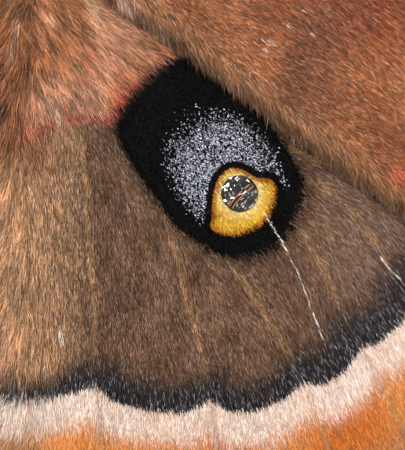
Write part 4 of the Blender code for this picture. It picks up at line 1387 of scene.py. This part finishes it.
def thorax_wool(y):
    """Each hair's length, width, rise, lean and stray. A lean over 0 is back to the tail."""
    lean = 0.93 - 1.75 * smooth_step(y, 5.2, 7.4)
    lean = np.where(np.abs(lean) < 0.35, np.sign(lean + 1e-6) * 0.35, lean)
    ends = 1.0 - 0.45 * smooth_step(np.abs(y), 5.0, 8.5)
    return 3.1 * ends, 0.13, 0.5, lean, 0.16


def abdomen_coat(y):
    return 1.5 + 0.9 * (1.0 - smooth_step(y, -28.5, -25.0)), 0.11, 0.3, 0.97, 0.12


def head_wool(y):
    return 1.35, 0.1, 0.35, -0.75, 0.2


body_wool_coat("thorax_wool", -8.4, 8.0, 62, thorax_wool, LOCK, 60, 1.3)
body_wool_coat("abdomen_coat", -28.6, -6.6, 46, abdomen_coat, SHORT_LOCK, 61, 0.9)
body_wool_coat("head_wool", 8.0, 13.7, 70, head_wool, SHORT_LOCK, 62, 0.8)

# The palps: two short furry feelers of the mouth, curved up under the face. The tongue is a mere stub.
PALP_RINGS = [
    (11.6, 5.3, 0.6, 0.6), (12.8, 5.1, 0.8, 0.7), (14.0, 5.3, 0.65, 0.6), (14.8, 5.6, 0.3, 0.3),
]
PALP_X = 0.8
PALP_DEPTH = 0.25
PALP_SIDES = 16
PALP_LEAST = 0.12
FUR_SUNK = 0.04
FUR_FLOOR = 0.1
FUR_TIP_FLOOR = 0.05
FUR_STRAY = 0.15
FUR_ROLL = 0.5


def fur_along(name, lines, radii, density, long, wide, high, finish, seed, ahead=0.85):
    """Short fur over round limbs, lying towards their tips. None of it goes through the floor."""
    dice = np.random.default_rng(seed)
    limbs = []
    for number, (line, radius) in enumerate(zip(lines, radii)):
        lengths = lengths_of(line)
        girth = math.tau * radius.max()
        flat = scattered(np.zeros(2), np.array([girth, lengths[-1]]), density, dice)
        here = np.interp(flat[:, 1], lengths, radius)
        kept = dice.uniform(0.0, 1.0, len(flat)) < here / radius.max()
        flat, here = flat[kept], here[kept]
        middle = read_off(line, lengths, flat[:, 1])
        run = unit(read_off(np.gradient(line, axis=0), lengths, flat[:, 1]))
        across = unit(np.cross(run, UP))
        up = np.cross(across, run)
        turn = flat[:, 0] / girth * math.tau
        out = across * np.cos(turn)[:, None] + up * np.sin(turn)[:, None]
        stray = np.cross(run, out) * dice.normal(0.0, FUR_STRAY, len(flat))[:, None]
        size = long * np.clip(here / radius.max(), 0.4, 1.0) * dice.uniform(0.6, 1.2, len(flat))
        across_map = turn / math.tau * 0.14 + MAP_EDGE + 0.16 * number
        up_map = MAP_EDGE + 0.97 * flat[:, 1] / lengths[-1]
        roots = middle + out * (here - FUR_SUNK)[:, None]
        lie = unit(run * ahead + out * (1.0 - ahead) + stray)
        limbs.append(np.column_stack([roots, lie, out, across_map, up_map, size]))
    coat = np.vstack(limbs)
    coat = coat[coat[:, 2] > FUR_FLOOR]
    roots, lie, out, uv, long = coat[:, :3], coat[:, 3:6], coat[:, 6:9], coat[:, 9:11], coat[:, 11]
    tips = roots[:, 2] + lie[:, 2] * long
    lie[:, 2] = np.where(tips < FUR_TIP_FLOOR, (FUR_TIP_FLOOR - roots[:, 2]) / long, lie[:, 2])
    out[:, 2] = np.where(roots[:, 2] < high + FUR_FLOOR, np.maximum(out[:, 2], 0.0), out[:, 2])
    fields = {"place": roots, "lot": dice.uniform(0.0, 1.0, (len(roots), 3))}
    roll = dice.normal(0.0, FUR_ROLL, len(roots))
    tufts(name, roots, lie, unit(out + 1e-6), long, wide, high, HAIR, uv, fields, finish, roll)


palp_lines = []
palp_sizes = []
palp = smooth_line(PALP_RINGS, 4)
turns = np.arange(PALP_SIDES) * math.tau / PALP_SIDES
wide, high = (np.maximum(palp[:, k:k + 1] - PALP_DEPTH, PALP_LEAST) for k in (2, 3))
for word, side in SIDES.items():
    across = side * PALP_X + wide * np.cos(turns)
    ahead = np.broadcast_to(palp[:, :1], across.shape)
    rings = np.stack([across, ahead, palp[:, 1:2] + high * np.sin(turns)], axis=-1)
    tubes(f"palp_{word}", [rings], body_skin, fanned=True)
    palp_lines.append(np.column_stack([np.full(len(palp), side * PALP_X), palp[:, 0], palp[:, 1]]))
    palp_sizes.append(wide[:, 0])
fur_along("palp_wool", palp_lines, palp_sizes, 90, 0.7, 0.09, 0.15, body_wool, 63, ahead=0.75)

# The eyes: two compound eyes, each a dark glossy ball of thousands of six-sided facets.
EYE_RADIUS = 1.3
EYE_PLACE = (2.1, 10.7, 6.8)
FACET = 0.11
FACET_BULGE = 0.006
LENS_DARK = (0.012, 0.008, 0.006)
LENS_GLOW = (0.05, 0.03, 0.018)
FACET_EDGE = (0.004, 0.003, 0.003)


def eye_finish():
    finish = Finish("eye_lens", 0.22, Coat_Weight=0.6, Coat_Roughness=0.08)
    inputs = {"Vector": finish.here(), "Scale": 1.0 / FACET / MM}
    facets = finish.node("ShaderNodeTexVoronoi", {"feature": "DISTANCE_TO_EDGE"}, inputs)
    colour = finish.mottled(finish.noise(finish.here(), 700.0), LENS_DARK, LENS_GLOW)
    colour = finish.mix(finish.mask(facets, 0.12, 0.02), colour, FACET_EDGE)
    return finish.done(colour, finish.mask(facets, 0.0, 0.3), 0.00002)


def ball_points(divisions):
    """The points and faces of an even ball as large as the eye."""
    ball = bmesh.new()
    bmesh.ops.create_icosphere(ball, subdivisions=divisions, radius=EYE_RADIUS)
    points = np.array([v.co for v in ball.verts])
    faces = [tuple(v.index for v in face.verts) for face in ball.faces]
    ball.free()
    return points, faces


eye_lens = eye_finish()
points, faces = ball_points(5)
facet_middles, _ = ball_points(4)
off_middle = np.sqrt([np.min(((facet_middles - point) ** 2).sum(axis=1)) for point in points])
points = points * (1.0 - FACET_BULGE * off_middle / FACET)[:, None]
for word, side in SIDES.items():
    middle = np.array(EYE_PLACE) * np.array([side, 1.0, 1.0])
    mesh = smooth_mesh(f"eye_{word}", points + middle, faces, eye_lens)
    place_object(f"compound_eye_{word}", mesh, [f"eye_{word}"])

# The feelers: a male's broad combs. Each joint of the shaft carries two pairs of fine branches, and every
# branch a row of hairs along both edges, all of tan horn.
FEELER_LINE = [(1.2, 11.6, 7.9), (2.4, 13.8, 8.7), (5.0, 17.0, 9.4), (8.4, 20.2, 9.6), (11.6, 22.6, 9.2)]
FEELER_WIDTHS = [0.5, 2.6, 3.5, 2.9, 0.6]
SHAFT_RADII = [0.34, 0.3, 0.24, 0.18, 0.1]
BRANCHES = 30
BRANCH_START = 0.12
BRANCH_RADIUS = 0.075
BRANCH_SLANT = 0.5
BRANCH_DROOP = 0.14
BRANCH_HAIRS = 26
BRANCH_HAIR = 0.34
BRANCH_HAIR_WIDE = 0.035
SHORTER = 0.86
LOWER = 1.7

horn = [(0.42, 0.24, 0.1), (0.6, 0.4, 0.19)]
feeler_horn = cloudy_finish("feeler_horn", 0.5, 900.0, 3.0, horn, CLOUDS, 0.00003, Specular_IOR_Level=0.4)
for word, side in SIDES.items():
    line = smooth_line([(side * x, y, z) for x, y, z in FEELER_LINE], 12)
    radii = smooth_line([[radius] for radius in SHAFT_RADII], 12)[:, 0]
    widths = smooth_line([[width] for width in FEELER_WIDTHS], 12)[:, 0]
    shares = np.linspace(0.0, 1.0, len(line))
    limbs = [limb_rings(line, radii, 10)]
    hair_roots, hair_ways = [], []
    for comb in (1.0, -1.0):
        for number in range(2 * BRANCHES):
            share = BRANCH_START + (0.97 - BRANCH_START) * number / (2 * BRANCHES)
            root = read_off(line, shares, share)
            run = unit(read_off(line, shares, min(1.0, share + 0.02)) - root)
            across = unit(np.cross(run, UP)) * comb
            reach = np.interp(share, shares, widths) * (1.0 if number % 2 else SHORTER)
            t = np.linspace(0.0, 1.0, 8)[:, None]
            droop = -UP * BRANCH_DROOP * (1.0 if number % 2 else LOWER)
            slant = run * BRANCH_SLANT * (t + 0.3 * t**2)
            branch = root + reach * (across * t + slant + droop * t**2)
            limbs.append(limb_rings(branch, BRANCH_RADIUS * (1.0 - 0.75 * t[:, 0]), 5))
            spine = read_off(branch, t[:, 0], np.linspace(0.08, 1.0, BRANCH_HAIRS))
            along_branch = unit(np.gradient(spine, axis=0))
            for edge in (1.0, -1.0):
                hair_roots.append(spine)
                hair_ways.append(unit(run * edge + along_branch * 0.55))
    tubes(f"feeler_{word}_combs", limbs, feeler_horn, [f"feeler_{word}"])
    hair_roots, hair_ways = np.vstack(hair_roots), np.vstack(hair_ways)
    count = len(hair_roots)
    dice = np.random.default_rng(70)
    uv = MAP_EDGE + 0.9 * (hair_roots[:, :2] * np.array([side, 1.0]) - np.array([-4.0, 10.0])) / 20.0
    fields = {"place": hair_roots, "lot": dice.uniform(0.0, 1.0, (count, 3))}
    tufts(
        f"feeler_{word}_hairs", hair_roots, hair_ways, np.tile(UP, (count, 1)),
        BRANCH_HAIR * dice.uniform(0.7, 1.2, count), BRANCH_HAIR_WIDE, 0.01, HAIR, uv, fields, feeler_horn,
    )

# The legs: three short furry pairs with their feet flat on the floor, the front pair reaching out ahead of
# the wings. Each foot has five joints and ends in two small hooked claws of dark horn.
LEG_LINES = {
    "front": [
        (2.0, 6.0, 5.0), (3.6, 7.6, 2.9), (6.8, 11.0, 5.2), (8.4, 14.0, 1.9), (9.0, 15.6, 0.5),
        (9.9, 19.0, 0.4),
    ],
    "middle": [
        (2.8, 1.4, 5.0), (5.2, 1.7, 2.9), (10.4, 2.8, 5.4), (13.8, 3.4, 1.9), (15.4, 3.9, 0.5),
        (18.8, 4.8, 0.4),
    ],
    "hind": [
        (2.8, -3.2, 5.0), (5.2, -4.4, 2.9), (9.8, -9.2, 5.4), (12.4, -12.6, 1.9), (13.2, -14.2, 0.5),
        (14.6, -17.4, 0.4),
    ],
}
LEG_RADII = [0.95, 0.85, 0.6, 0.42, 0.3, 0.22]
FOOT_JOINTS = 5
CLAW = 0.55
JOINT_SWELL = 0.16
CLAW_RADIUS = 0.075

leg_tones = [(0.09, 0.045, 0.03), (0.2, 0.1, 0.06)]
leg_skin = cloudy_finish("leg_skin", 0.7, 900.0, 3.0, leg_tones, CLOUDS, 0.00004, Specular_IOR_Level=0.3)
leg_fur = Finish("leg_fur", 0.7, Specular_IOR_Level=0.3)
fur_cloud = leg_fur.noise(leg_fur.field("place"), 0.8)
fur_colour = leg_fur.mottled(fur_cloud, (0.3, 0.15, 0.09), (0.42, 0.24, 0.15))
leg_fur = leg_fur.done(hair_tone(leg_fur, fur_colour))
claw_horn = cloudy_finish("claw_horn", 0.3, 2500.0, 2.0, [(0.03, 0.015, 0.01), (0.09, 0.045, 0.025)], None)
claws = []
for seed, (word, side) in enumerate(SIDES.items()):
    lines, sizes = [], []
    for which, joints in LEG_LINES.items():
        line = smooth_line([(side * x, y, z) for x, y, z in joints], 12)
        share = np.linspace(0.0, len(joints) - 1.0, len(line))
        radii = smooth_line([[radius] for radius in LEG_RADII], 12)[:, 0]
        foot = np.clip(share - (len(joints) - 2), 0.0, 1.0)
        swell = np.where(foot > 0.0, np.cos(foot * math.tau * FOOT_JOINTS), 0.0)
        radii = radii * (1.0 + JOINT_SWELL * swell)
        line[:, 2] = np.maximum(line[:, 2], radii)
        leg = [limb_rings(line, radii, 14)]
        tubes(f"leg_{which}_{word}_skin", leg, leg_skin, [f"leg_{which}_{word}"], fanned=True)
        lines.append(line)
        sizes.append(radii)
        run = unit(line[-1] - line[-4])
        across = unit(np.cross(run, UP))
        t = np.linspace(0.0, 1.0, 7)[:, None]
        for way in (1.0, -1.0):
            ahead = run * t * CLAW + across * way * (0.08 + 0.3 * np.sin(t * 2.0)) * CLAW
            hook = UP * (0.25 * np.sin(t * 3.0) - 0.22 * t) * CLAW
            claws.append(limb_rings(line[-1] + ahead + hook, CLAW_RADIUS * (1.05 - t[:, 0]), 6))
    fur_along(f"legs_{word}_fur", lines, sizes, 80, 0.8, 0.08, 0.12, leg_fur, 80 + seed)
tubes("claws", claws, claw_horn)
